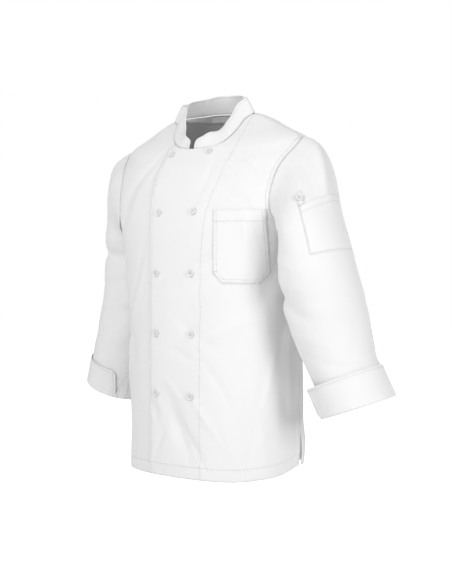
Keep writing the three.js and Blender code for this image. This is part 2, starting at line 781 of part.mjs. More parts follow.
function addButton(name, seat, normal) {
  const button = add(name, buttonGeometry(), BUTTON_WHITE);
  button.position.copy(seat).addScaledVector(normal, BUTTON.clearance);
  button.quaternion.setFromUnitVectors(new THREE.Vector3(0, 0, 1), normal);
}

add("back", back());
add("front_left", frontLeft());
add("front_right", frontRight());
add("sleeve_left", sleeve(leftArm));
add("sleeve_right", sleeve(rightArm));
add("cuff_left", cuff(leftArm, SLIT_ROUND.left));
add("cuff_right", cuff(rightArm, SLIT_ROUND.right));
add("collar", collar());
add("chest_pocket", chestPocket());
add("sleeve_pocket", sleevePocket());
add("sleeve_tab", sleeveTab());
add("neck_tape", neckTape());
add("neck_label", neckLabel());

for (const row of range(BUTTON_ROWS.count)) {
  const z = BUTTON_ROWS.first - row * BUTTON_ROWS.pitch;
  const half = row === 0 ? BUTTON_ROWS.firstHalfSpacing : BUTTON_ROWS.halfSpacing;
  for (const [name, side] of [
    ["left", 1],
    ["right", -1],
  ]) {
    const angle = angleAtX(side * half, z);
    const seat = bodyPoint(angle, z, lapLiftLeft(angle) + CLOTH);
    addButton(`button_${name}_${row + 1}`, seat, bodyNormal(angle, z));
  }
}

function addSleeveButton() {
  const round = SLEEVE_POCKET.from + TAB.width / 2 / ARM_GIRTH;
  const along = SLEEVE_POCKET.top - SLEEVE_BUTTON_RISE;
  const lift = CLOTH + SLEEVE_POCKET.clearance + TAB.wall;
  const across = leftArm.point(round + 0.01, along, lift).sub(leftArm.point(round - 0.01, along, lift));
  const down = leftArm.point(round, along + 5, lift).sub(leftArm.point(round, along - 5, lift));
  addButton("button_sleeve", leftArm.point(round, along, lift), down.cross(across).normalize());
}
addSleeveButton();

export default jacket;
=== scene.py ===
"""Looks of a double-breasted chef jacket, filled out as worn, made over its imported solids.

Lengths are millimetres until a mesh is written, which is in metres. The wearer's left is +X, the
front faces -Y and +Z is up. Angles are degrees round the z axis from the centre front towards the
wearer's left.
"""

import logging
from collections.abc import Callable
from dataclasses import dataclass, field
from enum import Enum

import bpy
import numpy as np
from mathutils import Matrix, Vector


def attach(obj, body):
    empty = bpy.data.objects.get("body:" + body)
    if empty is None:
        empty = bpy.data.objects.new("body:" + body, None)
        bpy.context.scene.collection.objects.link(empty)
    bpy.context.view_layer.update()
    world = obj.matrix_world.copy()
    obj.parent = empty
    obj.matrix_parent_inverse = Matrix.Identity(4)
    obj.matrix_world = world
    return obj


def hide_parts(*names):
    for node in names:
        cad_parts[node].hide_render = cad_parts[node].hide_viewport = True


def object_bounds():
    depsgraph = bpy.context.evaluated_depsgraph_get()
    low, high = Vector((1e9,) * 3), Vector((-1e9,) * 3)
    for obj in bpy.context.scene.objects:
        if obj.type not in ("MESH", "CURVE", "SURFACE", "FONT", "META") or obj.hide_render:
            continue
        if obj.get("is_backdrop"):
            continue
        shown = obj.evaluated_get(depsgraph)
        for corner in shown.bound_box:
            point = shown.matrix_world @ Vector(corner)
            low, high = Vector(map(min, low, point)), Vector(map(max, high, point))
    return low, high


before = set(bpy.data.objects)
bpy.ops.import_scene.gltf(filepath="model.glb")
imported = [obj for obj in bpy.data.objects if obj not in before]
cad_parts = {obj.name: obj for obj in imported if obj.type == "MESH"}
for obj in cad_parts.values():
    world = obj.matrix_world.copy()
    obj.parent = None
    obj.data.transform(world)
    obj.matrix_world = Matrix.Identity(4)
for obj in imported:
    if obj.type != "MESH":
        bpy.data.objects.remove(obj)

Array = np.ndarray
Line = Callable[[Array], tuple[Array, Array]]
LOG = logging.getLogger("chef_jacket")
METRES = 0.001
CLOTH = 1.6
SEAM = 0.4


def smooth(value: Array, low: float, high: float) -> Array:
    """A step that eases from 0 at low to 1 at high, as 3t^2 - 2t^3.

    Args:
        value: Where to read it.
        low: Start of the step.
        high: End of the step.

    Returns:
        The height of the step there.
    """
    t = np.clip((value - low) / (high - low), 0, 1)
    return t * t * (3 - 2 * t)


def mix(a: Array, b: Array, t: Array) -> Array:
    """Blends from a to b by t."""
    return a + (b - a) * t


def unit(vectors: Array) -> Array:
    """Scales each vector to a length of one."""
    return vectors / np.maximum(np.linalg.norm(vectors, axis=-1, keepdims=True), 1e-9)


def stack(x: Array, y: Array, z: Array) -> Array:
    """Joins three arrays of coordinates into points."""
    return np.stack(np.broadcast_arrays(x, y, z), axis=-1).astype(float)


def lengths_along(points: Array) -> Array:
    """Sums the lengths of a line's pieces from its start to each of its points."""
    steps = np.linalg.norm(np.diff(points, axis=0), axis=-1)
    return np.concatenate([[0.0], np.cumsum(steps)])


@dataclass(frozen=True)
class Table:
    """Rows of sizes under named columns, read as smooth curves that don't overshoot."""

    names: str
    rows: tuple[tuple[float, ...], ...]

    def column(self, name: str) -> Array:
        """Gives one column as an array."""
        place = self.names.split().index(name)
        return np.array([row[place] for row in self.rows], float)

    def read(self, key: str, name: str, at: Array) -> Array:
        """Reads a column by a cubic between rows, its slope there the harmonic mean of its neighbours'.

        Args:
            key: Column that runs steadily up or down.
            name: Column to read.
            at: Values of the key column.

        Returns:
            The column's values there.
        """
        xs, ys = self.column(key), self.column(name)
        if xs[0] > xs[-1]:
            xs, ys = xs[::-1], ys[::-1]
        x = np.clip(np.asarray(at, float), xs[0], xs[-1])
        i = np.clip(np.searchsorted(xs, x, side="right") - 1, 0, len(xs) - 2)
        slope = np.diff(ys) / np.diff(xs)
        before, after = slope[:-1], slope[1:]
        agree = before * after > 0
        middle = np.where(agree, 2 * before * after / np.where(agree, before + after, 1), 0)
        tangent = np.concatenate([slope[:1], middle, slope[-1:]])
        width = xs[i + 1] - xs[i]
        t = (x - xs[i]) / width
        blend = t * t * (3 - 2 * t)
        bend = width * t * (1 - t) * (tangent[i] * (1 - t) - tangent[i + 1] * t)
        return ys[i] * (1 - blend) + ys[i + 1] * blend + bend


@dataclass(frozen=True)
class Folds:
    """Soft folds on a surface that is measured by a way round and a way down.

    Each row holds its place round and down, its tilt in degrees, half length, half width, height, how
    sharp its crest is (2 is a soft bell, less is a crease) and how far its ends curl aside.
    """

    rows: tuple[tuple[float, ...], ...]
    period: float
    scale: float

    def height(self, across: Array, down: Array) -> Array:
        """Adds up the folds: each is exp(-(l/L)^2) exp(-|w/W|^sharp) times its height.

        Args:
            across: Place round the surface, in turns or degrees.
            down: Place down the surface, in millimetres.

        Returns:
            The height of the cloth above its plain form.
        """
        total = np.zeros(np.broadcast(across, down).shape)
        for place, level, tilt, length, width, high, sharp, curl in self.rows:
            side = np.mod(across - place + self.period / 2, self.period) - self.period / 2
            side, below = side * self.scale, down - level
            turn = np.radians(tilt)
            along = (below * np.cos(turn) + side * np.sin(turn)) / length
            aside = (side * np.cos(turn) - below * np.sin(turn)) / width + curl * along**2
            total += high * np.exp(-(along**2) - np.abs(aside) ** sharp)
        return total


def soft(rows: tuple[tuple[float, ...], ...]) -> tuple[tuple[float, ...], ...]:
    """Gives plain folds their last two sizes: a soft crest and no curl."""
    return tuple((*row, 2.0, 0.0) for row in rows)


@dataclass(frozen=True)
class Body:
    """The jacket's trunk: superellipse sections, |x/a|^n + |y/b|^n = 1, with folds moved out."""

    sections: Table = Table(
        "z half_width front back power",
        (
            (-790, 200, 143, 149, 2.25),
            (-764, 200, 143, 148, 2.25),
            (-640, 200, 142, 143, 2.25),
            (-540, 201, 142, 136, 2.25),
            (-440, 206, 142, 131, 2.25),
            (-342, 216, 141, 133, 2.25),
            (-290, 223, 139, 137, 2.25),
            (-252, 230, 137, 139, 2.3),
            (-215, 244, 132, 140, 2.3),
            (-160, 255, 115, 139, 2.35),
            (-116, 252, 98, 134, 2.3),
            (-88, 243, 84.5, 129, 2.15),
            (-78, 240, 79.5, 126, 2.1),
            (-61, 236, 66, 121, 2),
            (-50, 210, 56, 117, 2),
            (-36, 182, 44, 110, 2),
            (-16, 146, 26, 98, 2),
            (-3, 112, 14, 89, 2),
            (-1, 92, 12, 88, 2),
            (5, 88, 10, 82, 2),
            (10, 84, 9, 75, 2),
            (12, 80, 9, 70, 2),
            (18, 74, 9, 60, 2),
        ),
    )
    neckline: Table = Table(
        "angle z lean",
        (
            (-180, 12, 9),
            (-150, 13, 14),
            (-127, 10, 20),
            (-100, 4, 20),
            (-90, -2, 21),
            (-80, -12, 23),
            (-68, -30, 24),
            (-60, -42, 25),
            (-47, -57, 24),
            (-35, -68, 20),
            (-18, -77, 12),
            (0, -79.5, 9),
            (20, -80, 12),
            (35, -78, 22),
            (47, -69, 28),
            (60, -50, 26),
            (68, -36, 26),
            (80, -14, 23),
            (90, -2, 21),
            (100, 1, 20),
            (127, 4, 20),
            (150, 10, 14),
            (180, 12, 9),
        ),
    )
    hem: Table = Table(
        "angle z",
        (
            (-100, -772),
            (-60, -770),
            (0, -767),
            (45, -768),
            (75, -761),
            (100, -747),
            (130, -752),
            (180, -760),
            (230, -768),
            (260, -772),
        ),
    )
    armhole_points: Table = Table(
        "angle z",
        (
            (94, -254),
            (78, -247),
            (69.5, -226),
            (67.5, -194),
            (69.5, -155),
            (74.5, -117),
            (81, -90),
            (90, -61),
            (99, -90),
            (107, -119),
            (112, -158),
            (113, -196),
            (110.5, -226),
            (104, -246),
        ),
    )
    large_folds: Folds = Folds(
        soft(
            (
                (8, -672, -30, 62, 20, -7),
                (-20, -630, -25, 30, 11, -3),
                (20, -430, 60, 50, 24, -4),
                (-58, -470, -25, 60, 18, -6),
                (-66, -560, 15, 70, 16, 5),
                (74, -330, 20, 70, 20, -6),
                (58, -196, -30, 40, 20, 3),
                (-58, -190, 8, 44, 15, -5),
                (150, -420, 8, 130, 26, -6),
                (205, -400, -10, 140, 26, -5),
                (178, -250, 0, 120, 34, -4),
                (120, -620, -10, 110, 24, 5),
                (-118, -600, 12, 110, 24, 5),
                (108, -340, 30, 60, 18, 6),
                (-110, -330, -25, 60, 18, 6),
            )
        ),
        360,
        np.radians(170),
    )
    small_folds: Folds = Folds(
        (
            (62, -120, -28, 60, 7, -1.6, 1.6, 0.4),
            (56, -150, -36, 52, 8, 1.4, 1.8, 0.3),
            (50, -186, -48, 46, 9, -1.2, 1.8, 0.2),
            (61, -240, -14, 42, 7, -1.6, 1.6, 0.3),
            (56, -262, -6, 52, 9, 1.2, 2.0, 0.0),
            (38, -560, -34, 70, 10, -1.3, 1.8, 0.4),
            (30, -640, -38, 70, 9, 1.5, 1.7, 0.3),
            (22, -700, -34, 60, 8, -1.5, 1.6, 0.2),
            (48, -690, -20, 60, 12, 1.3, 2.0, 0.0),
            (64, -640, 10, 90, 10, -1.6, 1.8, 0.0),
            (72, -560, 14, 100, 9, 1.5, 1.8, 0.2),
            (-14, -700, 24, 50, 9, -1.2, 1.8, 0.3),
            (4, -590, -52, 46, 10, 1.1, 1.8, 0.3),
            (10, -510, -70, 44, 9, -1.0, 1.8, 0.4),
            (24, -360, 72, 52, 9, -0.9, 2.0, 0.4),
            (-40, -330, 20, 60, 9, -1.2, 1.8, 0.2),
            (-48, -420, 26, 60, 8, 1.4, 1.8, 0.2),
            (-66, -480, 34, 44, 7, -1.8, 1.6, 0.3),
            (-70, -520, 40, 40, 6, 1.6, 1.6, 0.3),
            (-72, -560, 44, 36, 6, -1.6, 1.6, 0.3),
            (-62, -660, 12, 80, 9, -1.4, 1.8, 0.0),
            (-52, -130, 24, 50, 8, -1.2, 1.8, 0.3),
            (-62, -230, 20, 46, 8, -1.4, 1.7, 0.3),
            (84, -420, 10, 90, 8, -1.8, 1.6, 0.2),
            (92, -520, -6, 100, 9, 1.6, 1.8, 0.0),
            (96, -640, 4, 80, 9, -1.4, 1.8, 0.0),
            (128, -300, 34, 66, 8, -1.7, 1.6, 0.3),
            (140, -340, 40, 70, 9, 1.5, 1.8, 0.3),
            (158, -560, 12, 110, 12, -1.6, 1.8, 0.1),
            (196, -600, -8, 120, 12, 1.5, 1.8, 0.1),
            (226, -320, -36, 66, 9, -1.6, 1.6, 0.3),
            (216, -380, -40, 64, 8, 1.4, 1.8, 0.3),
            (176, -130, 80, 60, 10, -1.2, 2.0, 0.2),
            (242, -480, -16, 90, 9, -1.6, 1.7, 0.1),
            (79, -480, 2, 90, 11, -1.8, 1.9, 0.1),
            (86, -465, -2, 70, 7, 1.8, 1.7, 0.1),
            (82, -590, -8, 56, 13, -2.8, 1.9, 0.2),
            (106, -705, 0, 46, 22, 4.4, 2.0, 0.0),
            (89, -610, -3, 64, 9, 2.0, 1.8, 0.0),
            (66, -640, -12, 60, 11, 1.6, 1.9, 0.2),
            (24, -470, -58, 60, 12, -1.2, 1.9, 0.2),
            (44, -460, 64, 60, 11, 1.1, 1.9, 0.2),
            (30, -150, 30, 46, 9, -1.0, 1.9, 0.2),
        ),
        360,
        np.radians(170),
    )
    overlap_lift: float = 2.6
    underlap_drop: float = 2.5
    tip_z: float = -61
    tip_blur: float = 14
    crease_gain: float = 1.7
    neck_side_x: float = 92

    def section(self, name: str, z: Array) -> Array:
        """Reads a section's size, averaged a little up and down near the shoulder tips to round them.

        Args:
            name: The size's name.
            z: Heights on the body.

        Returns:
            The size at each height.
        """
        z = np.asarray(z, float)
        spread = self.tip_blur * np.exp(-(((z - self.tip_z) / 22) ** 2))
        reads = [self.sections.read("z", name, z + spread * step / 2) for step in (-2, -1, 0, 1, 2)]
        return (reads[0] + reads[4] + 2 * (reads[1] + reads[3]) + 3 * reads[2]) / 9

    def radius(self, angle: Array, z: Array) -> Array:
        """Distance of the section from the z axis, from the superellipse's equation.

        Args:
            angle: Degrees round the body.
            z: Heights on the body.

        Returns:
            The distance in millimetres.
        """
        power = self.section("power", z)
        side = np.abs(np.sin(np.radians(angle))) / self.section("half_width", z)
        facing = np.cos(np.radians(angle))
        front, back = self.section("front", z), self.section("back", z)
        depth = np.where(facing > 0, front, back)
        return (side**power + (np.abs(facing) / depth) ** power) ** (-1 / power)

    def skin(self, angle: Array, z: Array) -> Array:
        """Points of the plain form."""
        radius, turn = self.radius(angle, z), np.radians(angle)
        return stack(radius * np.sin(turn), -radius * np.cos(turn), np.asarray(z, float))

    def normal(self, angle: Array, z: Array, step: float = 0.6) -> Array:
        """Outward directions of the plain form, from the steps to its neighbours.

        Args:
            angle: Degrees round the body.
            z: Heights on the body.
            step: How far away the neighbours are.

        Returns:
            Directions with a length of one.
        """
        round_way = self.skin(angle + step, z) - self.skin(angle - step, z)
        up_way = self.skin(angle, z + step) - self.skin(angle, z - step)
        return unit(np.cross(round_way, up_way))

    def fold(self, angle: Array, z: Array) -> Array:
        """Height of all the folds, which fade out towards the shoulders."""
        large = self.large_folds.height(angle, z) * (1 - smooth(z, -150, -60))
        return large + self.crease_gain * self.small_folds.height(angle, z) * (1 - smooth(z, -90, -40))

    def point(self, angle: Array, z: Array, lift: Array) -> Array:
        """Points that stand off the folded form along its normals."""
        height = np.asarray(lift + self.fold(angle, z))
        return self.skin(angle, z) + self.normal(angle, z) * height[..., None]

    def neck(self, angle: Array) -> Array:
        """Height of the neckline."""
        return self.neckline.read("angle", "z", np.mod(angle + 180, 360) - 180)

    def hem_height(self, angle: Array) -> Array:
        """Height of the hem."""
        return self.hem.read("angle", "z", np.where(angle < -100, angle + 360, angle))

    def angle_at(self, x: Array, z: Array) -> Array:
        """Angle at which the front has a given x, from the superellipse's equation.

        Args:
            x: Distances from the centre.
            z: Heights on the body.

        Returns:
            Degrees round the body.
        """
        power, half_width, front = (self.sections.read("z", n, z) for n in ("power", "half_width", "front"))
        depth = front * (1 - np.abs(x / half_width) ** power) ** (1 / power)
        return np.degrees(np.arctan2(x, depth))

    def shoulder_height(self, x: Array) -> Array:
        """Height at which the shoulder's ridge has a given x, by halving.

        Args:
            x: Distances from the centre.

        Returns:
            The heights.
        """
        low = np.full(np.shape(x), float(self.tip_z))
        high = np.full(np.shape(x), float(self.neck(np.array(90.0))))
        for _ in range(24):
            middle = (low + high) / 2
            wide = self.section("half_width", middle) > x
            low, high = np.where(wide, middle, low), np.where(wide, high, middle)
        return (low + high) / 2

    def armhole(self, turn: Array) -> tuple[Array, Array]:
        """The armhole, as a closed cubic through its points, each slope half its neighbours' step.

        Args:
            turn: Part of the way round from under the arm: 0.25 is the front, 0.5 the shoulder tip.

        Returns:
            Angle and height on the body.
        """
        knots = np.stack([self.armhole_points.column(name) for name in ("angle", "z")], axis=-1)
        count = len(knots)
        place = np.mod(turn, 1) * count
        i = np.floor(place).astype(int) % count
        t = (place - np.floor(place))[..., None]
        a, b, c, d = (knots[(i + k) % count] for k in (-1, 0, 1, 2))
        start, end = (c - a) / 2, (d - b) / 2
        curve = (2 * b - 2 * c + start + end) * t**3 + (3 * c - 3 * b - 2 * start - end) * t**2 + start * t + b
        return curve[..., 0], curve[..., 1]

    def lap(self, angle: Array) -> Array:
        """How far the left front stands off the body: full over the overlap, fading towards the side."""
        fade = self.overlap_lift * (1 - smooth(np.abs(angle), 26, 62))
        return np.where(angle < 0, self.overlap_lift, fade)

    def press(self, angle: Array) -> Array:
        """How far the right front is pressed in below the left one."""
        return -self.underlap_drop * smooth(angle, -26, -14)


BODY = Body()


@dataclass(frozen=True)
class Arm:
    """One sleeve's form. Part of the way round: 0 is under the arm, 0.25 front, 0.5 outside, 0.75 back."""

    side: int
    rings: Table
    large_folds: Folds
    small_folds: Folds
    wrist_z: float
    bulge: float
    hang_turn: float
    pinch: float = 0
    pinch_turn: float = 0.1
    hang_depth: float = 6
    head_length: float = 150
    inner_power: float = 2.8

    @property
    def top_z(self) -> float:
        """Height of the first ring's middle."""
        return float(self.rings.column("z")[0])

    @property
    def length(self) -> float:
        """Length of the sleeve from the armhole to its end."""
        return self.head_length + self.top_z - self.wrist_z

    def axes(self, z: Array) -> tuple[Array, Array, Array]:
        """Middle of a ring, and the directions down the arm and out from the body.

        Args:
            z: The ring's height.

        Returns:
            The middle and the two directions.
        """
        tilt = np.radians(self.rings.read("z", "tilt", z))
        middle = stack(self.side * self.rings.read("z", "x", z), self.rings.read("z", "y", z), z)
        down = stack(self.side * np.sin(tilt), 0, -np.cos(tilt))
        return middle, down, stack(self.side * np.cos(tilt), 0, np.sin(tilt))

    def ring(self, turn: Array, z: Array, lift: Array) -> Array:
        """Points of a ring: an ellipse outside, and a squarer superellipse where the body flattens it.

        Args:
            turn: Turns round the sleeve.
            z: The ring's height.
            lift: How far the cloth stands off.

        Returns:
            The points.
        """
        middle, _, out = self.axes(z)
        c, s = -np.cos(2 * np.pi * turn), np.sin(2 * np.pi * turn)
        inner = mix(2, self.inner_power, np.clip(2 * np.abs(c), 0, 1) * np.clip((z + 500) / 120, 0, 1))
        power = np.where(c > 0, 2, inner)
        read = self.rings.read
        wide = np.where(c > 0, read("z", "out", z), read("z", "in", z)) + lift
        deep = np.where(s > 0, read("z", "front", z), read("z", "back", z)) + lift
        across = np.sign(c) * np.abs(c) ** (2 / power) * wide
        ahead = np.sign(s) * np.abs(s) ** (2 / power) * deep
        return middle + out * across[..., None] + np.array([0, -1.0, 0]) * ahead[..., None]

    def head(self, turn: Array, t: Array) -> Array:
        """The head's cubic from the armhole, leaving it outwards, to the first ring, along the arm.

        Args:
            turn: Turns round the sleeve.
            t: The way down the head, 0 to 1.

        Returns:
            The points.
        """
        angle, z = BODY.armhole(turn)
        foot = BODY.point(self.side * angle, z, 0.0)
        top = np.full(np.shape(turn), self.top_z)
        to = self.ring(turn, top, np.zeros(np.shape(turn)))
        reach = np.linalg.norm(foot - to, axis=-1)[..., None]
        height = (1 - np.cos(2 * np.pi * turn)) / 2
        outward = unit(stack(float(self.side), 0.0, -0.2 - 0.9 * (1 - height)))
        start = foot + outward * SEAM * 2.5
        down = self.axes(top)[1]
        t = np.asarray(t, float)[..., None]
        swell = mix(0.6, self.bulge, height)[..., None]
        curve = start * (2 * t**3 - 3 * t**2 + 1) + outward * (t**3 - 2 * t**2 + t) * reach * swell
        return curve + to * (3 * t**2 - 2 * t**3) + down * (t**3 - t**2) * reach * 1.1

    def head_normal(self, turn: Array, t: Array) -> Array:
        """Outward directions of the head, from the steps to its neighbours.

        Args:
            turn: Turns round the sleeve.
            t: The way down the head, 0 to 1.

        Returns:
            Directions with a length of one.
        """
        across = self.head(turn + 0.01, t) - self.head(turn - 0.01, t)
        down = self.head(turn, np.minimum(1, t + 0.02)) - self.head(turn, np.maximum(0, t - 0.02))
        return unit(np.cross(down, across)) * self.side

    def pinched(self, turn: Array, along: Array) -> Array:
        """How far the sleeve draws in inside its cuff, a bell round its front inner corner."""
        side = np.mod(turn - self.pinch_turn + 0.5, 1) - 0.5
        return self.pinch * np.exp(-((side / 0.09) ** 2)) * smooth(along, 360, 455)

    def point(self, turn: Array, along: Array, lift: Array) -> Array:
        """Points that stand off the folded sleeve.

        Args:
            turn: Part of the way round.
            along: Length down the sleeve from the armhole.
            lift: How far they stand off.

        Returns:
            The points.
        """
        turn, along, lift = np.broadcast_arrays(turn, along, np.asarray(lift, float))
        start = smooth(along, 0, 40)
        fold = self.large_folds.height(turn, along) * start * (1 - smooth(along, 400, 470))
        fold = fold + self.small_folds.height(turn, along) * start * (1 - smooth(along, 420, 480))
        total = lift + fold - self.pinched(turn, along)
        t = np.clip(along / self.head_length, 0, 1)
        angle, z = BODY.armhole(turn)
        skin = BODY.normal(self.side * angle, z)
        crease = (1 - np.sum(self.head_normal(turn, np.zeros(turn.shape)) * skin, axis=-1)) / 2
        top = np.full(turn.shape, self.top_z)
        flat = np.zeros(turn.shape)
        ring_lift = self.ring(turn, top, total) - self.ring(turn, top, flat)
        own_lift = self.head_normal(turn, t) * total[..., None]
        clear = skin * (crease * (2 * CLOTH + 4 * SEAM) * (1 - t) ** 2)[..., None]
        upper = self.head(turn, t) + clear + mix(own_lift, ring_lift, t[..., None])
        lower_z = self.top_z - (along - self.head_length)
        hang = self.hang_depth * np.cos(2 * np.pi * (turn - self.hang_turn)) * smooth(along, 300, 470)
        lower = self.ring(turn, lower_z, total) + self.axes(lower_z)[1] * hang[..., None]
        return np.where((along <= self.head_length)[..., None], upper, lower)


RING_NAMES = "z x y tilt out in front back"
LEFT_ARM = Arm(
    side=1,
    rings=Table(
        RING_NAMES,
        (
            (-262, 271, -42, 20, 70, 38, 84, 80),
            (-333, 289, -47, 17, 76, 59, 83, 86),
            (-408, 305, -36, 15, 78, 72, 83, 84),
            (-480, 320, -26, 16, 76, 70, 74, 78),
            (-545, 338, -17, 23, 74, 71, 71, 74),
            (-604, 365, -10, 22, 73, 73, 74, 73),
            (-615, 371, -9, 22, 73, 73, 74, 73),
        ),
    ),
    large_folds=Folds(
        soft(
            (
                (0.05, 250, 70, 90, 15, -8),
                (0.2, 300, 55, 60, 15, -5),
                (0.92, 330, 100, 80, 18, -6),
                (0.3, 470, 75, 60, 20, -4),
                (0.62, 420, 80, 80, 22, -4),
                (0.47, 60, 0, 50, 12, 4),
            )
        ),
        1,
        490,
    ),
    small_folds=Folds(
        (
            (0.40, 60, 6, 46, 7, -1.6, 1.8, 0.1),
            (0.46, 66, 2, 46, 7, 1.4, 1.8, 0.1),
            (0.53, 60, -4, 46, 8, -1.4, 1.8, 0.1),
            (0.34, 64, 12, 40, 8, 1.2, 1.8, 0.2),
            (0.14, 120, 30, 60, 8, -1.8, 1.6, 0.3),
            (0.18, 200, 60, 60, 9, 1.6, 1.8, 0.3),
            (0.16, 250, 66, 60, 8, -1.8, 1.6, 0.4),
            (0.20, 350, 70, 60, 9, 1.5, 1.8, 0.4),
            (0.26, 400, 64, 66, 9, -1.4, 1.8, 0.3),
            (0.36, 330, 66, 70, 12, -1.3, 2.0, 0.2),
            (0.42, 420, 70, 70, 11, 1.2, 2.0, 0.2),
            (0.50, 300, 84, 70, 12, -1.0, 2.0, 0.2),
            (0.88, 260, 96, 70, 9, -1.8, 1.7, 0.3),
            (0.84, 340, 102, 70, 9, 1.6, 1.8, 0.3),
            (0.70, 380, 90, 80, 11, -1.4, 1.9, 0.2),
        ),
        1,
        490,
    ),
    wrist_z=-604,
    bulge=0.95,
    hang_turn=0.35,
    pinch=11,
)
RIGHT_ARM = Arm(
    side=-1,
    rings=Table(
        RING_NAMES,
        (
            (-262, 268, 42, 16, 72, 36, 74, 78),
            (-333, 284, 60, 12, 74, 64, 76, 78),
            (-408, 292, 64, 11, 75, 73, 76, 78),
            (-480, 309, 60, 13, 75, 74, 75, 77),
            (-545, 320, 55, 16, 74, 74, 75, 76),
            (-614, 334, 51, 17, 73, 73, 74, 74),
            (-626, 336, 50, 17, 73, 73, 74, 74),
        ),
    ),
    large_folds=Folds(
        soft(
            (
                (0.3, 190, 85, 90, 13, -8),
                (0.12, 300, 70, 70, 16, -5),
                (0.3, 360, 60, 60, 18, -4),
                (0.9, 330, 100, 80, 18, -6),
                (0.62, 420, 80, 80, 22, -4),
                (0.47, 60, 0, 50, 12, 4),
            )
        ),
        1,
        490,
    ),
    small_folds=Folds(
        (
            (0.28, 70, 6, 46, 7, -1.4, 1.8, 0.1),
            (0.36, 66, 2, 46, 7, 1.4, 1.8, 0.1),
            (0.46, 60, -4, 46, 8, -1.4, 1.8, 0.1),
            (0.22, 230, 70, 60, 8, 1.6, 1.8, 0.3),
            (0.34, 260, 74, 60, 9, -1.6, 1.7, 0.3),
            (0.26, 300, 60, 60, 8, -1.4, 1.6, 0.4),
            (0.20, 380, 66, 60, 9, 1.4, 1.8, 0.4),
            (0.34, 430, 64, 66, 9, -1.4, 1.8, 0.3),
            (0.88, 260, 96, 70, 9, -1.8, 1.7, 0.3),
            (0.70, 380, 90, 80, 11, -1.4, 1.9, 0.2),
        ),
        1,
        490,
    ),
    wrist_z=-614,
    bulge=1.5,
    hang_turn=0.15,
)


@dataclass
class Surface:
    """A closed wall of cloth on a grid of rows and columns, with its place in the flat cloth."""

    outer: Array
    inner: Array
    uv: Array

    @staticmethod
    def flat_place(outer: Array) -> Array:
        """Measures the cloth's own place: lengths along the middle row and down the middle column.

        Args:
            outer: The grid of points of the shown side.

        Returns:
            The place of each point, in millimetres.
        """
        rows, columns = outer.shape[:2]
        across = lengths_along(outer[rows // 2])
        down = lengths_along(outer[:, columns // 2])
        return np.stack(np.broadcast_arrays(across[None, :], down[:, None]), axis=-1)

    def faces(self) -> Array:
        """Quads of both sides and of the four rims between them."""
        rows, columns = self.outer.shape[:2]
        out = np.arange(rows * columns).reshape(rows, columns)
        under = out + rows * columns
        top = np.stack([out[:-1, :-1], out[:-1, 1:], out[1:, 1:], out[1:, :-1]], axis=-1).reshape(-1, 4)
        low = top[:, ::-1] + rows * columns
        ways = (
            (out[0], under[0]),
            (out[:, -1], under[:, -1]),
            (out[-1, ::-1], under[-1, ::-1]),
            (out[::-1, 0], under[::-1, 0]),
        )
        rims = [np.stack([a[1:], a[:-1], b[:-1], b[1:]], axis=-1) for a, b in ways]
        return np.concatenate([top, low, *rims])

    def points(self) -> Array:
        """All points, the outer side's first."""
        return np.concatenate([self.outer.reshape(-1, 3), self.inner.reshape(-1, 3)])


def outward(points: Array, faces: list[Array]) -> list[Array]:
    """Turns all the faces round if the signed volume that they enclose is negative.

    Args:
        points: The closed shape's points.
        faces: Groups of faces with the same count of corners.

    Returns:
        The groups, facing outwards.
    """
    volume = 0.0
    for part in faces:
        a = points[part[:, 0]]
        for k in range(1, part.shape[1] - 1):
            volume += np.sum(a * np.cross(points[part[:, k]], points[part[:, k + 1]]))
    return faces if volume > 0 else [part[:, ::-1] for part in faces]


def make_object(
    name: str,
    points: Array,
    faces: list[Array],
    uv: Array | None = None,
    attributes: dict[str, Array] | None = None,
) -> bpy.types.Object:
    """Writes a smooth mesh, with the cloth's own place as UV and other values on its points.

    Args:
        name: Name of the object and its mesh.
        points: Points in millimetres.
        faces: Arrays of faces, with three or four indices a face.
        uv: Place of each point in the flat cloth, in millimetres.
        attributes: Three values a point, by name.

    Returns:
        The object, linked to the scene.
    """
    mesh = bpy.data.meshes.new(name)
    turned = [face for part in outward(points, faces) for face in part.tolist()]
    mesh.from_pydata((points * METRES).tolist(), [], turned)
    mesh.polygons.foreach_set("use_smooth", np.ones(len(turned), bool))
    if uv is not None:
        layer = mesh.uv_layers.new(name="Cloth")
        corners = np.empty(len(mesh.loops), np.int32)
        mesh.loops.foreach_get("vertex_index", corners)
        layer.data.foreach_set("uv", (uv[corners] * METRES).astype(np.float32).ravel())
    for key, values in (attributes or {}).items():
        made = mesh.attributes.new(key, "FLOAT_VECTOR", "POINT")
        made.data.foreach_set("vector", values.astype(np.float32).ravel())
    mesh.update()
    piece = bpy.data.objects.new(name, mesh)
    bpy.context.scene.collection.objects.link(piece)
    return piece


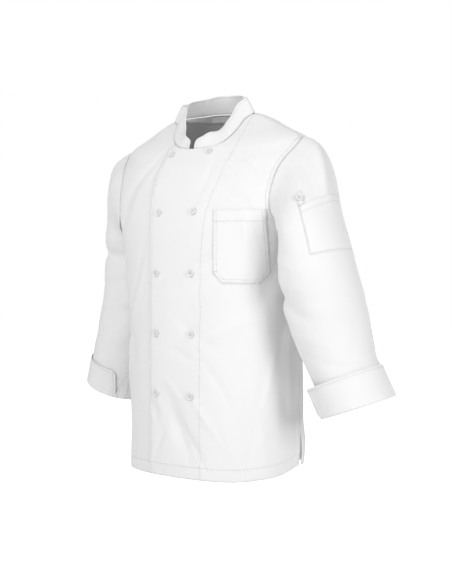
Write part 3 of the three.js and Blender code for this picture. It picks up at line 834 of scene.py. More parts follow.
def distance_to(points: Array, line: Array, reach: float = 45) -> Array:
    """Measures how far points lie from a line, and how far along it the nearest place is.

    The line is set with a point each half millimetre, and each point's nearest one is taken.

    Args:
        points: Points to measure, rows by columns.
        line: Points of the line.
        reach: Distance past which a coarse measure is enough.

    Returns:
        Distance, length along the line and 0, for each point.
    """
    flat = points.reshape(-1, 3)
    lengths = lengths_along(line)
    result = np.zeros((len(flat), 3))

    def nearest(which: Array, spacing: float) -> None:
        """Measures some of the points against the line at one spacing.

        Args:
            which: The points' numbers.
            spacing: Distance between the places tried on the line.
        """
        at = np.linspace(0, lengths[-1], max(8, int(lengths[-1] / spacing)))
        dense = np.stack([np.interp(at, lengths, line[:, k]) for k in range(3)], axis=-1)
        for part in np.array_split(which, max(1, len(which) * len(dense) // 4_000_000)):
            gaps = np.linalg.norm(flat[part][:, None] - dense[None], axis=-1)
            best = np.argmin(gaps, axis=1)
            result[part, 0] = gaps[np.arange(len(part)), best]
            result[part, 1] = at[best]

    nearest(np.arange(len(flat)), 12.0)
    nearest(np.flatnonzero(result[:, 0] < reach), 0.5)
    return result.reshape(*points.shape[:2], 3)


@dataclass(frozen=True)
class Panel:
    """A panel of the trunk between four edges, blended across both ways."""

    start: Line
    end: Line
    columns: int = 112
    dip: float = 0

    PARTS = (0.62, 0.86)

    def rows(self) -> Array:
        """Parts of the way up: the side seam, the armhole and the shoulder seam, each evenly filled.

        Two rows are left out beside the shoulder tip, where rows would cross.
        """
        low, high = self.PARTS
        hole = np.delete(np.linspace(low, high, 58)[1:], [-3, -2])
        return np.concatenate([np.linspace(0, low, 124), hole, np.linspace(high, 1, 40)[1:]])

    def place(self, u: Array, v: Array) -> tuple[Array, Array]:
        """Angle and height on the body: a straight blend across, bent to the hem and the neckline.

        The neckline's share eases in over v, the hem's is (1 - v)^5, and the back's rows sag by sin^2 of
        v below the shoulders.

        Args:
            u: Parts of the way across, 0 to 1.
            v: Parts of the way up, 0 to 1.

        Returns:
            The angles and heights.
        """
        (angle_a, z_a), (angle_b, z_b) = self.start(v), self.end(v)
        one, zero = np.ones(1), np.zeros(1)
        (top_a, high_a), (top_b, high_b) = self.start(one), self.end(one)
        (low_a, foot_a), (low_b, foot_b) = self.start(zero), self.end(zero)
        edge = mix(top_a, top_b, u)
        foot = mix(low_a, low_b, u)
        sag = self.dip * np.sin(np.pi * np.clip(v / 0.8, 0, 1)) ** 2 * 4 * u * (1 - u)
        hem = (1 - v) ** 5 * (mix(foot_a, foot_b, u) - BODY.hem_height(foot))
        rise = smooth(v, 0.3, 1) * (BODY.neck(edge) - mix(high_a, high_b, u))
        return mix(angle_a, angle_b, u), mix(z_a, z_b, u) + rise - sag - hem

    def grid(self) -> tuple[Array, Array]:
        """Evens the columns out by length along each row.

        Returns:
            Angles and heights, rows by columns.
        """
        v = self.rows()[:, None]
        u = np.linspace(0, 1, 161)[None, :]
        angle, z = self.place(u, v)
        skin = BODY.skin(angle, z)
        step = np.linalg.norm(np.diff(skin, axis=1), axis=-1)
        gone = np.concatenate([np.zeros((len(v), 1)), np.cumsum(step, axis=1)], axis=1)
        share = gone / gone[:, -1:]
        even = np.linspace(0, 1, self.columns + 1)
        places = np.stack([np.interp(even, row, u[0]) for row in share])
        return self.place(places, v)


def side_line(sign: int, right: bool) -> Line:
    """A panel's side, from the hem up the side seam, the armhole and the shoulder seam to the neck.

    Args:
        sign: 1 for a front, whose armhole runs up the front, and -1 for the back.
        right: Whether it is the wearer's right side.

    Returns:
        The line, by the part of the way up.
    """
    low, high = Panel.PARTS
    hem_z = float(BODY.hem_height(np.array(-100.0 if right else 100.0)))

    def line(v: Array) -> tuple[Array, Array]:
        """Angle and height of the side at each part of the way up.

        Args:
            v: Parts of the way up, 0 to 1.

        Returns:
            The angles and heights.
        """
        v = np.asarray(v, float)
        t = np.clip(v / low, 0, 1)
        seam_z = mix(hem_z, -254, t)
        open_part = np.clip((hem_z + 75 - seam_z) / 75, 0, 1)
        seam = mix(100, 94, smooth(t, 0.2, 1)) - sign * 1.7 * open_part**0.8
        hole, hole_z = BODY.armhole(sign * np.clip((v - low) / (high - low), 0, 1) / 2)
        x = mix(BODY.section("half_width", BODY.tip_z), BODY.neck_side_x, np.clip((v - high) / (1 - high), 0, 1))
        ridge = BODY.shoulder_height(x)
        angle = np.where(v <= low, seam, np.where(v <= high, hole, 90))
        z = np.where(v <= low, seam_z, np.where(v <= high, hole_z, ridge))
        if not right:
            return angle, z
        return (-angle if sign > 0 else 360 - angle), z

    return line


@dataclass(frozen=True)
class FrontEdge:
    """A front's free edge, whose place across depends on its height."""

    across: Table
    heights: Table = Table("v z", ((0, -768), (0.62, -345), (0.86, -132), (1, -75)))

    def __call__(self, v: Array) -> tuple[Array, Array]:
        """Angle and height of the edge at each part of the way up."""
        z = self.heights.read("v", "z", v)
        return BODY.angle_at(self.across.read("z", "x", z), z), z


LAP_EDGE = FrontEdge(
    Table(
        "z x",
        ((-764, -67), (-480, -66), (-300, -66), (-215, -73), (-162, -80), (-110, -72), (-76, -63)),
    )
)
HIDDEN_EDGE = FrontEdge(Table("z x", ((-764, 62), (-76, 62))))
FACING_LINE = Table(
    "z x",
    ((-764, 68), (-480, 67), (-300, 70), (-230, 76), (-170, 88), (-120, 100), (-80, 110)),
)


class Kind(Enum):
    """The kinds of material that a piece is made of."""

    CLOTH = "cloth"
    BUTTON = "button"


@dataclass
class Graph:
    """A node tree that is filled node by node."""

    tree: bpy.types.NodeTree

    def add(self, kind: str, settings: dict | None = None, **inputs: object) -> bpy.types.Node:
        """Adds a node, sets its options and fills or links its inputs.

        Args:
            kind: Blender's name of the node's type.
            settings: Options of the node.
            inputs: Values or sockets, by the input's name or, after an underscore, its number.

        Returns:
            The node.
        """
        node = self.tree.nodes.new(kind)
        for key, value in (settings or {}).items():
            setattr(node, key, value)
        for key, value in inputs.items():
            place = int(key[1:]) if key.startswith("_") else key.replace("_", " ")
            socket = node.inputs[place]
            if isinstance(value, bpy.types.NodeSocket):
                self.tree.links.new(value, socket)
            else:
                socket.default_value = value
        return node

    def math(self, operation: str, a: object, b: object = 0.0, c: object = 0.0) -> bpy.types.NodeSocket:
        """Adds a Math node and gives its output."""
        return self.add("ShaderNodeMath", {"operation": operation}, _0=a, _1=b, _2=c).outputs[0]

    def link(self, socket: bpy.types.NodeSocket, node: bpy.types.Node, name: str) -> None:
        """Links an output to a named input."""
        self.tree.links.new(socket, node.inputs[name])


def new_group(name: str, inputs: dict[str, str], outputs: dict[str, str]) -> tuple[Graph, dict, bpy.types.Node]:
    """Makes a shader node group with named sockets.

    Args:
        name: Name of the group.
        inputs: Socket types of its inputs, by name.
        outputs: Socket types of its outputs, by name.

    Returns:
        Its graph, its inputs' sockets by name, and its output node.
    """
    tree = bpy.data.node_groups.new(name, "ShaderNodeTree")
    for way, sockets in (("INPUT", inputs), ("OUTPUT", outputs)):
        for key, kind in sockets.items():
            tree.interface.new_socket(name=key, in_out=way, socket_type=kind)
    entry = tree.nodes.new("NodeGroupInput")
    exit_node = tree.nodes.new("NodeGroupOutput")
    return Graph(tree), {key: entry.outputs[key] for key in inputs}, exit_node


def twill_group() -> bpy.types.NodeTree:
    """Diagonal ribs, broken into yarns across them: sin of the slanted place times a soft cross sin."""
    graph, source, result = new_group(
        "Twill weave", {"Place": "NodeSocketVector", "Pitch": "NodeSocketFloat"}, {"Height": "NodeSocketFloat"}
    )
    parts = graph.add("ShaderNodeSeparateXYZ", None, Vector=source["Place"]).outputs
    turns = graph.math("DIVIDE", 2 * np.pi, source["Pitch"])
    slanted = graph.math("MULTIPLY_ADD", parts[1], 0.6, parts[0])
    crossed = graph.math("MULTIPLY_ADD", parts[0], -1.4, parts[1])
    rib = graph.math("SINE", graph.math("MULTIPLY", slanted, turns))
    yarn = graph.math("SINE", graph.math("MULTIPLY", crossed, turns))
    height = graph.math("MULTIPLY_ADD", graph.math("MULTIPLY", rib, yarn), 0.35, rib)
    graph.link(height, result, "Height")
    return graph.tree


def creasing_group() -> bpy.types.NodeTree:
    """Faint creases of worn cotton: two drawn-out noises, one of a hand's width and one of a finger's."""
    graph, source, result = new_group("Cotton creasing", {"Place": "NodeSocketVector"}, {"Height": "NodeSocketFloat"})
    broad_place = graph.add(
        "ShaderNodeMapping", None, Vector=source["Place"], Rotation=(0, 0, 0.5), Scale=(9.0, 4.0, 1.0)
    ).outputs[0]
    broad = graph.add("ShaderNodeTexNoise", {"noise_dimensions": "2D"}, Vector=broad_place, Scale=1.0, Detail=2.0)
    fine_place = graph.add(
        "ShaderNodeMapping", None, Vector=source["Place"], Rotation=(0, 0, -0.7), Scale=(46.0, 22.0, 1.0)
    ).outputs[0]
    fine = graph.add("ShaderNodeTexNoise", {"noise_dimensions": "2D"}, Vector=fine_place, Scale=1.0, Detail=3.0)
    height = graph.math("MULTIPLY_ADD", fine.outputs[0], 0.3, broad.outputs[0])
    graph.link(height, result, "Height")
    return graph.tree


def sewn_group() -> bpy.types.NodeTree:
    """A row of stitches at an offset from an edge: a bell groove, stitches in it, and puckers beside it."""
    graph, source, result = new_group(
        "Sewn row",
        {"Place": "NodeSocketVector", "Offset": "NodeSocketFloat"},
        {"Height": "NodeSocketFloat", "Groove": "NodeSocketFloat"},
    )
    parts = graph.add("ShaderNodeSeparateXYZ", None, Vector=source["Place"]).outputs
    away = graph.math("SUBTRACT", parts[0], source["Offset"])
    squared = graph.math("MULTIPLY", away, away)
    groove = graph.math("EXPONENT", graph.math("MULTIPLY", squared, -0.9))
    near = graph.math("EXPONENT", graph.math("MULTIPLY", squared, -0.035))
    step = graph.math("FRACT", graph.math("DIVIDE", parts[1], 3.2))
    stitch = graph.math("LESS_THAN", graph.math("ABSOLUTE", graph.math("SUBTRACT", step, 0.5)), 0.36)
    thread = graph.math("MULTIPLY", graph.math("EXPONENT", graph.math("MULTIPLY", squared, -9.0)), stitch)
    wander = graph.add("ShaderNodeTexNoise", {"noise_dimensions": "1D"}, W=parts[1], Scale=0.11, Detail=1.0)
    pucker = graph.math("MULTIPLY", graph.math("SUBTRACT", wander.outputs[0], 0.5), near)
    depth = graph.math("MULTIPLY_ADD", groove, -0.55, graph.math("MULTIPLY", pucker, 1.3))
    graph.link(graph.math("MULTIPLY_ADD", thread, 0.3, depth), result, "Height")
    # The groove's bell also goes out as the mask for painted shade in the groove.
    graph.link(groove, result, "Groove")
    return graph.tree


@dataclass(frozen=True)
class SewnRow:
    """A row of stitches: the attribute that measures from its edge, and its offset in millimetres."""

    attribute: str
    offset: float


@dataclass
class Finishes:
    """The jacket's materials, each made once by name."""

    twill: bpy.types.NodeTree = field(default_factory=twill_group)
    creasing: bpy.types.NodeTree = field(default_factory=creasing_group)
    sewn: bpy.types.NodeTree = field(default_factory=sewn_group)

    @staticmethod
    def start(name: str) -> tuple[bpy.types.Material, Graph, bpy.types.Node]:
        """Makes a material and gives its graph and its shader.

        Args:
            name: The material's name.

        Returns:
            The material, its graph and its shader.
        """
        made = bpy.data.materials.new(name)
        made.use_nodes = True
        return made, Graph(made.node_tree), made.node_tree.nodes["Principled BSDF"]

    def cotton(self, name: str, colour: tuple, rows: tuple[SewnRow, ...] = (), pitch: float = 0.9) -> bpy.types.Material:
        """White cotton twill with its rows of stitches, its colour darkened as painted shade in the hollows of its
        creases and ribs and in its stitch grooves.

        Args:
            name: Name of the material.
            colour: Its colour.
            rows: Its rows of stitches.
            pitch: Distance between the twill's ribs, in millimetres.

        Returns:
            The material.
        """
        made, graph, shader = self.start(name)
        place = graph.add("ShaderNodeUVMap", {"uv_map": "Cloth"}).outputs[0]
        weave = graph.add("ShaderNodeGroup", {"node_tree": self.twill}, Place=place, Pitch=pitch * METRES).outputs[0]
        crease = graph.add("ShaderNodeGroup", {"node_tree": self.creasing}, Place=place).outputs[0]
        height = graph.math("MULTIPLY", weave, 0.035)
        height = graph.math("MULTIPLY_ADD", crease, 1.5, height)
        groove = 0.0
        for row in rows:
            measured = graph.add("ShaderNodeAttribute", {"attribute_name": row.attribute}).outputs["Vector"]
            sewn = graph.add("ShaderNodeGroup", {"node_tree": self.sewn}, Place=measured, Offset=row.offset)
            height = graph.math("ADD", height, sewn.outputs["Height"])
            groove = graph.math("MAXIMUM", sewn.outputs["Groove"], groove)
        bump = graph.add("ShaderNodeBump", None, Strength=1.0, Distance=METRES, Height=height)
        graph.link(bump.outputs[0], shader, "Normal")
        # Painted shade: the base colour follows the crease and twill heights of the bump, darker in their hollows.
        shade = graph.math("MULTIPLY_ADD", weave, 0.012, graph.math("MULTIPLY_ADD", crease, 0.04, 0.97))
        if rows:
            # Painted shade: the colour is darker in the stitch grooves.
            shade = graph.math("MULTIPLY_ADD", groove, -0.14, shade)
        dark = (*(c * 0.5 for c in colour), 1.0)
        tone = graph.add("ShaderNodeMix", {"data_type": "RGBA"}, _0=shade, _6=dark, _7=(*colour, 1.0))
        graph.link(tone.outputs[2], shader, "Base Color")
        rough = graph.math("MULTIPLY_ADD", crease, 0.12, 0.78)
        graph.link(rough, shader, "Roughness")
        shader.inputs["Specular IOR Level"].default_value = 0.25
        shader.inputs["Sheen Weight"].default_value = 0.12
        shader.inputs["Sheen Roughness"].default_value = 0.6
        return made

    def plastic(self) -> bpy.types.Material:
        """White moulded plastic with faint clouding and fine wear."""
        made, graph, shader = self.start("Button plastic")
        place = graph.add("ShaderNodeTexCoord").outputs["Object"]
        cloud = graph.add("ShaderNodeTexNoise", None, Vector=place, Scale=220.0, Detail=3.0).outputs[0]
        scratch = graph.add("ShaderNodeTexNoise", None, Vector=place, Scale=1800.0, Detail=2.0).outputs[0]
        tone = graph.add(
            "ShaderNodeMix", {"data_type": "RGBA"}, _0=cloud, _6=(0.66, 0.66, 0.66, 1), _7=(0.78, 0.78, 0.78, 1)
        )
        graph.link(tone.outputs[2], shader, "Base Color")
        graph.link(graph.math("MULTIPLY_ADD", scratch, 0.2, 0.24), shader, "Roughness")
        bump = graph.add("ShaderNodeBump", None, Strength=0.2, Distance=0.0002, Height=scratch)
        graph.link(bump.outputs[0], shader, "Normal")
        return made

    def thread(self) -> bpy.types.Material:
        """White twisted thread, its colour darkened as painted shade in the grooves of its twist."""
        made, graph, shader = self.start("Sewing thread")
        place = graph.add("ShaderNodeTexCoord").outputs["Object"]
        twist = graph.add("ShaderNodeTexWave", None, Vector=place, Scale=900.0, Distortion=1.0).outputs[1]
        # Painted shade: the colour follows the twist's bump height, darker in its grooves.
        tone = graph.add(
            "ShaderNodeMix", {"data_type": "RGBA"}, _0=twist, _6=(0.6, 0.6, 0.6, 1), _7=(0.8, 0.8, 0.8, 1)
        )
        graph.link(tone.outputs[2], shader, "Base Color")
        graph.link(graph.math("MULTIPLY_ADD", twist, 0.1, 0.7), shader, "Roughness")
        bump = graph.add("ShaderNodeBump", None, Strength=0.5, Distance=0.0001, Height=twist)
        graph.link(bump.outputs[0], shader, "Normal")
        return made


WHITE = (0.79, 0.79, 0.795)


@dataclass(frozen=True)
class Cut:
    """What a maker cuts for a piece: width and length in metres, and its area in square metres."""

    width: float
    length: float
    area: float | None = None


def fit(piece: bpy.types.Object, kind: Kind, *nodes: str) -> None:
    """Makes a piece stand for its solids, which it hides, and move with the jacket, and logs its count of faces.

    Args:
        piece: The finished piece.
        kind: What it is made of; not used.
        nodes: Names of its solids, if any.
    """
    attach(piece, "root")
    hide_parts(*nodes)
    LOG.info("%s: %d faces", piece.name, len(piece.data.polygons))


def dress(piece: bpy.types.Object, node: str, material: bpy.types.Material, cut: Cut) -> None:
    """Gives a cloth piece its finish and its solid.

    Args:
        piece: The piece.
        node: The solid that it stands for.
        material: Its finish.
        cut: Its flat size; not used.
    """
    piece.data.materials.append(material)
    fit(piece, Kind.CLOTH, node)
    cut.length


def both_sides(measured: Array) -> Array:
    """Repeats an outer side's values for the inner side."""
    flat = measured.reshape(-1, measured.shape[-1])
    return np.concatenate([flat, flat])


def make_sheet(name: str, surface: Surface, measured: dict[str, Array]) -> bpy.types.Object:
    """Makes a wall of cloth into an object with its rows' measures."""
    rows = {key: both_sides(values) for key, values in measured.items()}
    return make_object(name, surface.points(), [surface.faces()], both_sides(surface.uv), rows)


@dataclass
class Trunk:
    """The back and the two fronts."""

    finishes: Finishes
    wall: float = 1.3
    hem_offset: float = 25
    edge_offset: float = 6
    seam_offsets: tuple[float, float] = (1.6, 7.5)

    def surface(self, panel: Panel, lift: Callable[[Array], Array]) -> Surface:
        """Computes a panel's wall from its grid of angles and heights.

        Args:
            panel: The panel.
            lift: How far it lies above the body's skin, by angle.

        Returns:
            Its wall.
        """
        angle, z = panel.grid()
        own = lift(angle)
        outer = BODY.point(angle, z, own + CLOTH)
        inner = BODY.point(angle, z, own + CLOTH - self.wall)
        return Surface(outer, inner, Surface.flat_place(outer))

    def seam_line(self, outer: Array, column: int) -> Array:
        """The armhole's and shoulder's edge of a panel."""
        first = int(np.searchsorted(Panel(LAP_EDGE, LAP_EDGE).rows(), Panel.PARTS[0]))
        return outer[first:, column]

    def seam_rows(self, *edges: str) -> tuple[SewnRow, ...]:
        """Double rows beside each named edge."""
        return tuple(SewnRow(edge, offset) for edge in edges for offset in self.seam_offsets)

    def front_left(self) -> None:
        """The front that laps over, with its facing's row down the middle."""
        surface = self.surface(Panel(LAP_EDGE, side_line(1, False)), BODY.lap)
        outer = surface.outer
        x = FACING_LINE.read("z", "x", outer[..., 2])
        facing = np.stack([outer[..., 0] - x + 50, outer[..., 2], 0 * x], axis=-1)
        measured = {
            "hem": distance_to(outer, outer[0]),
            "edge": distance_to(outer, outer[:, 0]),
            "seam": distance_to(outer, self.seam_line(outer, -1)),
            "facing": facing,
        }
        rows = (
            SewnRow("hem", self.hem_offset),
            SewnRow("edge", self.edge_offset),
            SewnRow("facing", 50),
            *self.seam_rows("seam"),
        )
        piece = make_sheet("front_left_cloth", surface, measured)
        material = self.finishes.cotton("Left front cotton", WHITE, rows)
        dress(piece, "front_left", material, Cut(0.44, 0.79, 0.29))

    def front_right(self) -> None:
        """The front that lies below, its free edge hidden."""
        surface = self.surface(Panel(side_line(1, True), HIDDEN_EDGE), BODY.press)
        outer = surface.outer
        measured = {
            "hem": distance_to(outer, outer[0]),
            "edge": distance_to(outer, outer[:, -1]),
            "seam": distance_to(outer, self.seam_line(outer, 0)),
        }
        rows = (
            SewnRow("hem", self.hem_offset),
            SewnRow("edge", self.edge_offset),
            *self.seam_rows("seam"),
        )
        piece = make_sheet("front_right_cloth", surface, measured)
        material = self.finishes.cotton("Right front cotton", WHITE, rows)
        dress(piece, "front_right", material, Cut(0.44, 0.79, 0.29))

    def back(self) -> None:
        """The back, whose side seams stop above the vents."""
        panel = Panel(side_line(-1, False), side_line(-1, True), columns=132, dip=60)
        surface = self.surface(panel, lambda angle: np.zeros(np.shape(angle)))
        outer = surface.outer
        measured = {
            "hem": distance_to(outer, outer[0]),
            "left": distance_to(outer, self.seam_line(outer, 0)),
            "right": distance_to(outer, self.seam_line(outer, -1)),
        }
        rows = (SewnRow("hem", self.hem_offset), SewnRow("left", 1.6), SewnRow("right", 1.6))
        piece = make_sheet("back_cloth", surface, measured)
        material = self.finishes.cotton("Back cotton", WHITE, rows)
        dress(piece, "back", material, Cut(0.68, 0.80, 0.46))

    def build(self) -> None:
        """Makes the three panels."""
        self.back()
        self.front_right()
        self.front_left()


@dataclass
class Sleeve:
    """A sleeve and its turned-back cuff."""

    finishes: Finishes
    arm: Arm
    side: str
    slit_turn: float
    girth: float = 490
    cuff_height: float = 57
    cuff_wall: float = 2
    cuff_clearance: float = 2.2
    slit_half_width: float = 9
    slit_corner: float = 11

    def cloth(self) -> None:
        """The sleeve, sewn up under the arm, from the armhole to inside the cuff."""
        along = np.concatenate([np.linspace(0, 150, 52), np.linspace(150, self.arm.length, 96)[1:]])[:, None]
        turn = np.linspace(0.0004, 0.9996, 165)[None, :]
        outer = self.arm.point(turn, along, CLOTH)
        surface = Surface(outer, self.arm.point(turn, along, 0.3), Surface.flat_place(outer))
        seam = np.concatenate([outer[:, 0], outer[::-1, -1]])
        measured = {"seam": distance_to(outer, seam), "top": distance_to(outer, outer[0])}
        piece = make_sheet(f"sleeve_{self.side}_cloth", surface, measured)
        rows = (SewnRow("seam", 1.6), SewnRow("top", 1.4))
        material = self.finishes.cotton(f"Sleeve cotton {self.side}", WHITE, rows)
        cut = Cut(0.50, 0.51, 0.24)
        dress(piece, f"sleeve_{self.side}", material, cut)

    def cuff_top(self, distance: Array) -> Array:
        """Height of the cuff by the distance from its slit: a V to the fold, and a round corner.

        Args:
            distance: Distance from the slit's middle, in millimetres.

        Returns:
            The height in millimetres.
        """
        shoulder = self.cuff_height - self.slit_corner * 0.8
        t = np.clip((self.slit_half_width + self.slit_corner - distance) / self.slit_corner, 0, 1)
        corner = mix(shoulder, self.cuff_height, np.sqrt(1 - t * t))
        slope = mix(5, shoulder, distance / self.slit_half_width)
        return np.where(distance <= self.slit_half_width, slope, corner)

    def cuff(self) -> None:
        """A closed section carried round the arm: the outer leg, the fold below the sleeve and the lip."""
        near = np.linspace(-24, 24, 49) / self.girth
        rest = np.linspace(near[-1], 1 - near[-1], 150)[1:-1]
        part = np.concatenate([near, rest])[:, None]
        distance = np.concatenate([np.abs(near) * self.girth, np.full(len(rest), 99.0)])[:, None]
        tall = self.cuff_top(distance)
        face, out = CLOTH + self.cuff_clearance, CLOTH + self.cuff_clearance + self.cuff_wall
        legs = np.linspace(1, 0, 14)
        fold_lift = np.array([5.75, 5.3, 4.5, 3.4, 2.2, 1.1, 0.35, 0.05, 0, 1.3, 2.6, face])
        fold_drop = np.array([0.7, 1.5, 2.2, 2.7, 2.95, 3.0, 2.7, 2.0, 0.4, 0.4, 0.4, 0.4])
        back = np.linspace(0.06, 1, 9)
        lift = np.concatenate([[out - 0.5], np.full(14, out), fold_lift, np.full(9, face), [face + 0.5]])
        share = np.concatenate([[1], legs, np.zeros(12), back, [1]])
        drop = np.concatenate([[0], [0.5], np.zeros(13), fold_drop, np.zeros(8), [0.5], [0]])
        wave = 0.5 * np.sin(6 * np.pi * part) + 0.3 * np.sin(14 * np.pi * part + 1)
        flare = self.arm.pinched(self.slit_turn + part, self.arm.length) * np.clip(lift / face, 0, 1)
        lifts = lift[None, :] + flare * (1 + 0.25 * share[None, :]) + wave * share[None, :] * (1 - np.exp(-distance / 8))
        rise = tall * share[None, :] - drop[None, :]
        points = self.arm.point(self.slit_turn + part, self.arm.length - rise, lifts)
        count, around = points.shape[:2]
        index = np.arange(count * around).reshape(count, around)
        ahead, over = np.roll(index, -1, axis=0), np.roll(index, -1, axis=1)
        faces = np.stack([index, over, np.roll(ahead, -1, axis=1), ahead], axis=-1).reshape(-1, 4)
        section = lengths_along(points[60])
        uv = np.stack(np.broadcast_arrays(part * self.girth, section[None, :]), axis=-1)
        rim = points[:, 1]
        measured = {"rim": distance_to(points, np.concatenate([rim, rim[:1]])).reshape(-1, 3)}
        piece = make_object(f"cuff_{self.side}_cloth", points.reshape(-1, 3), [faces], uv.reshape(-1, 2), measured)
        material = self.finishes.cotton(f"Cuff cotton {self.side}", WHITE, (SewnRow("rim", 5),))
        cut = Cut(0.50, 0.064, 0.03)
        dress(piece, f"cuff_{self.side}", material, cut)

    def build(self) -> None:
        """Makes the sleeve and its cuff."""
        self.cloth()
        self.cuff()


@dataclass
class Collar:
    """The stand collar, from its tip on the wearer's left round the back to the other tip."""

    finishes: Finishes
    height: float = 41
    tip_height: float = 25
    tip_radius: float = 13
    rise: float = 48
    notch: float = 5
    wall: float = 2.4
    clearance: float = 0.8
    columns: int = 260
    rows: int = 18

    def foot(self, angle: Array) -> Array:
        """Points of the seam, above the neckline on the fronts' outer face.

        Args:
            angle: Degrees round the neck.

        Returns:
            The points.
        """
        z = BODY.neck(angle)
        rise = unit(BODY.skin(angle, z + 0.6) - BODY.skin(angle, z - 0.6))
        return BODY.skin(angle, z) + BODY.normal(angle, z) * BODY.overlap_lift + rise * self.clearance

    def tall(self, angle: Array) -> Array:
        """Height by the distance from a tip: it grows to the full height, after a round corner.

        Args:
            angle: Degrees round the neck.

        Returns:
            The height in millimetres.
        """
        from_centre = np.mod(angle + 180, 360) - 180
        tip = np.where(from_centre >= 0, self.notch, -self.notch)
        gone = np.linalg.norm(self.foot(angle) - self.foot(tip), axis=-1)
        grown = mix(self.tip_height, self.height, smooth(gone, self.tip_radius / 2, self.rise))
        inset = np.clip(self.tip_radius - gone, 0, None)
        rounded = grown - self.tip_radius + np.sqrt(self.tip_radius**2 - inset**2)
        return np.where(np.abs(from_centre) > 60, self.height, rounded)

    def side(self, angle: Array, part: Array, inward: Array) -> Array:
        """A side of the collar: it leans in and rises from its foot in straight lines.

        Args:
            angle: Degrees round the neck.
            part: The way up, 0 to 1.
            inward: How far inside the outer side it lies.

        Returns:
            The points.
        """
        foot = self.foot(angle)
        away = unit(foot * np.array([1, 1, 0]))
        lean = BODY.neckline.read("angle", "lean", np.mod(angle + 180, 360) - 180)
        share = part * self.tall(angle) / self.height
        up = np.sqrt(self.height**2 - lean**2) * share
        bow = 1.2 * np.sin(np.pi * part)
        return foot - away * (lean * share + inward - bow)[..., None] + np.array([0, 0, 1.0]) * up[..., None]

    def build(self) -> None:
        """Makes the collar, its edge rounded where its wall thins out."""
        ends = np.linspace(0, 1, 26) ** 1.4 * 18
        low, high = self.notch + ends, 360 - self.notch - ends[::-1]
        angle = np.concatenate([low, np.linspace(low[-1], high[0], self.columns)[1:-1], high])[None, :]
        part = np.concatenate([np.linspace(0, 0.9, self.rows), [0.94, 0.97, 0.99, 1.0]])[:, None]
        thin = self.wall / 2 * (1 - np.sqrt(1 - np.clip((part - 0.94) / 0.06, 0, 1) ** 2)) * np.ones_like(angle)
        outer = self.side(angle, part, thin * 0.9)
        surface = Surface(outer, self.side(angle, part, self.wall - thin * 0.9), Surface.flat_place(outer))
        line = np.concatenate([outer[:, 0], outer[-1], outer[::-1, -1]])
        measured = {"rim": distance_to(outer, line), "foot": distance_to(outer, outer[0])}
        piece = make_sheet("collar_cloth", surface, measured)
        rows = (SewnRow("rim", 5.5), SewnRow("foot", 2))
        material = self.finishes.cotton("Collar cotton", WHITE, rows)
        dress(piece, "collar", material, Cut(0.50, 0.042, 0.019))


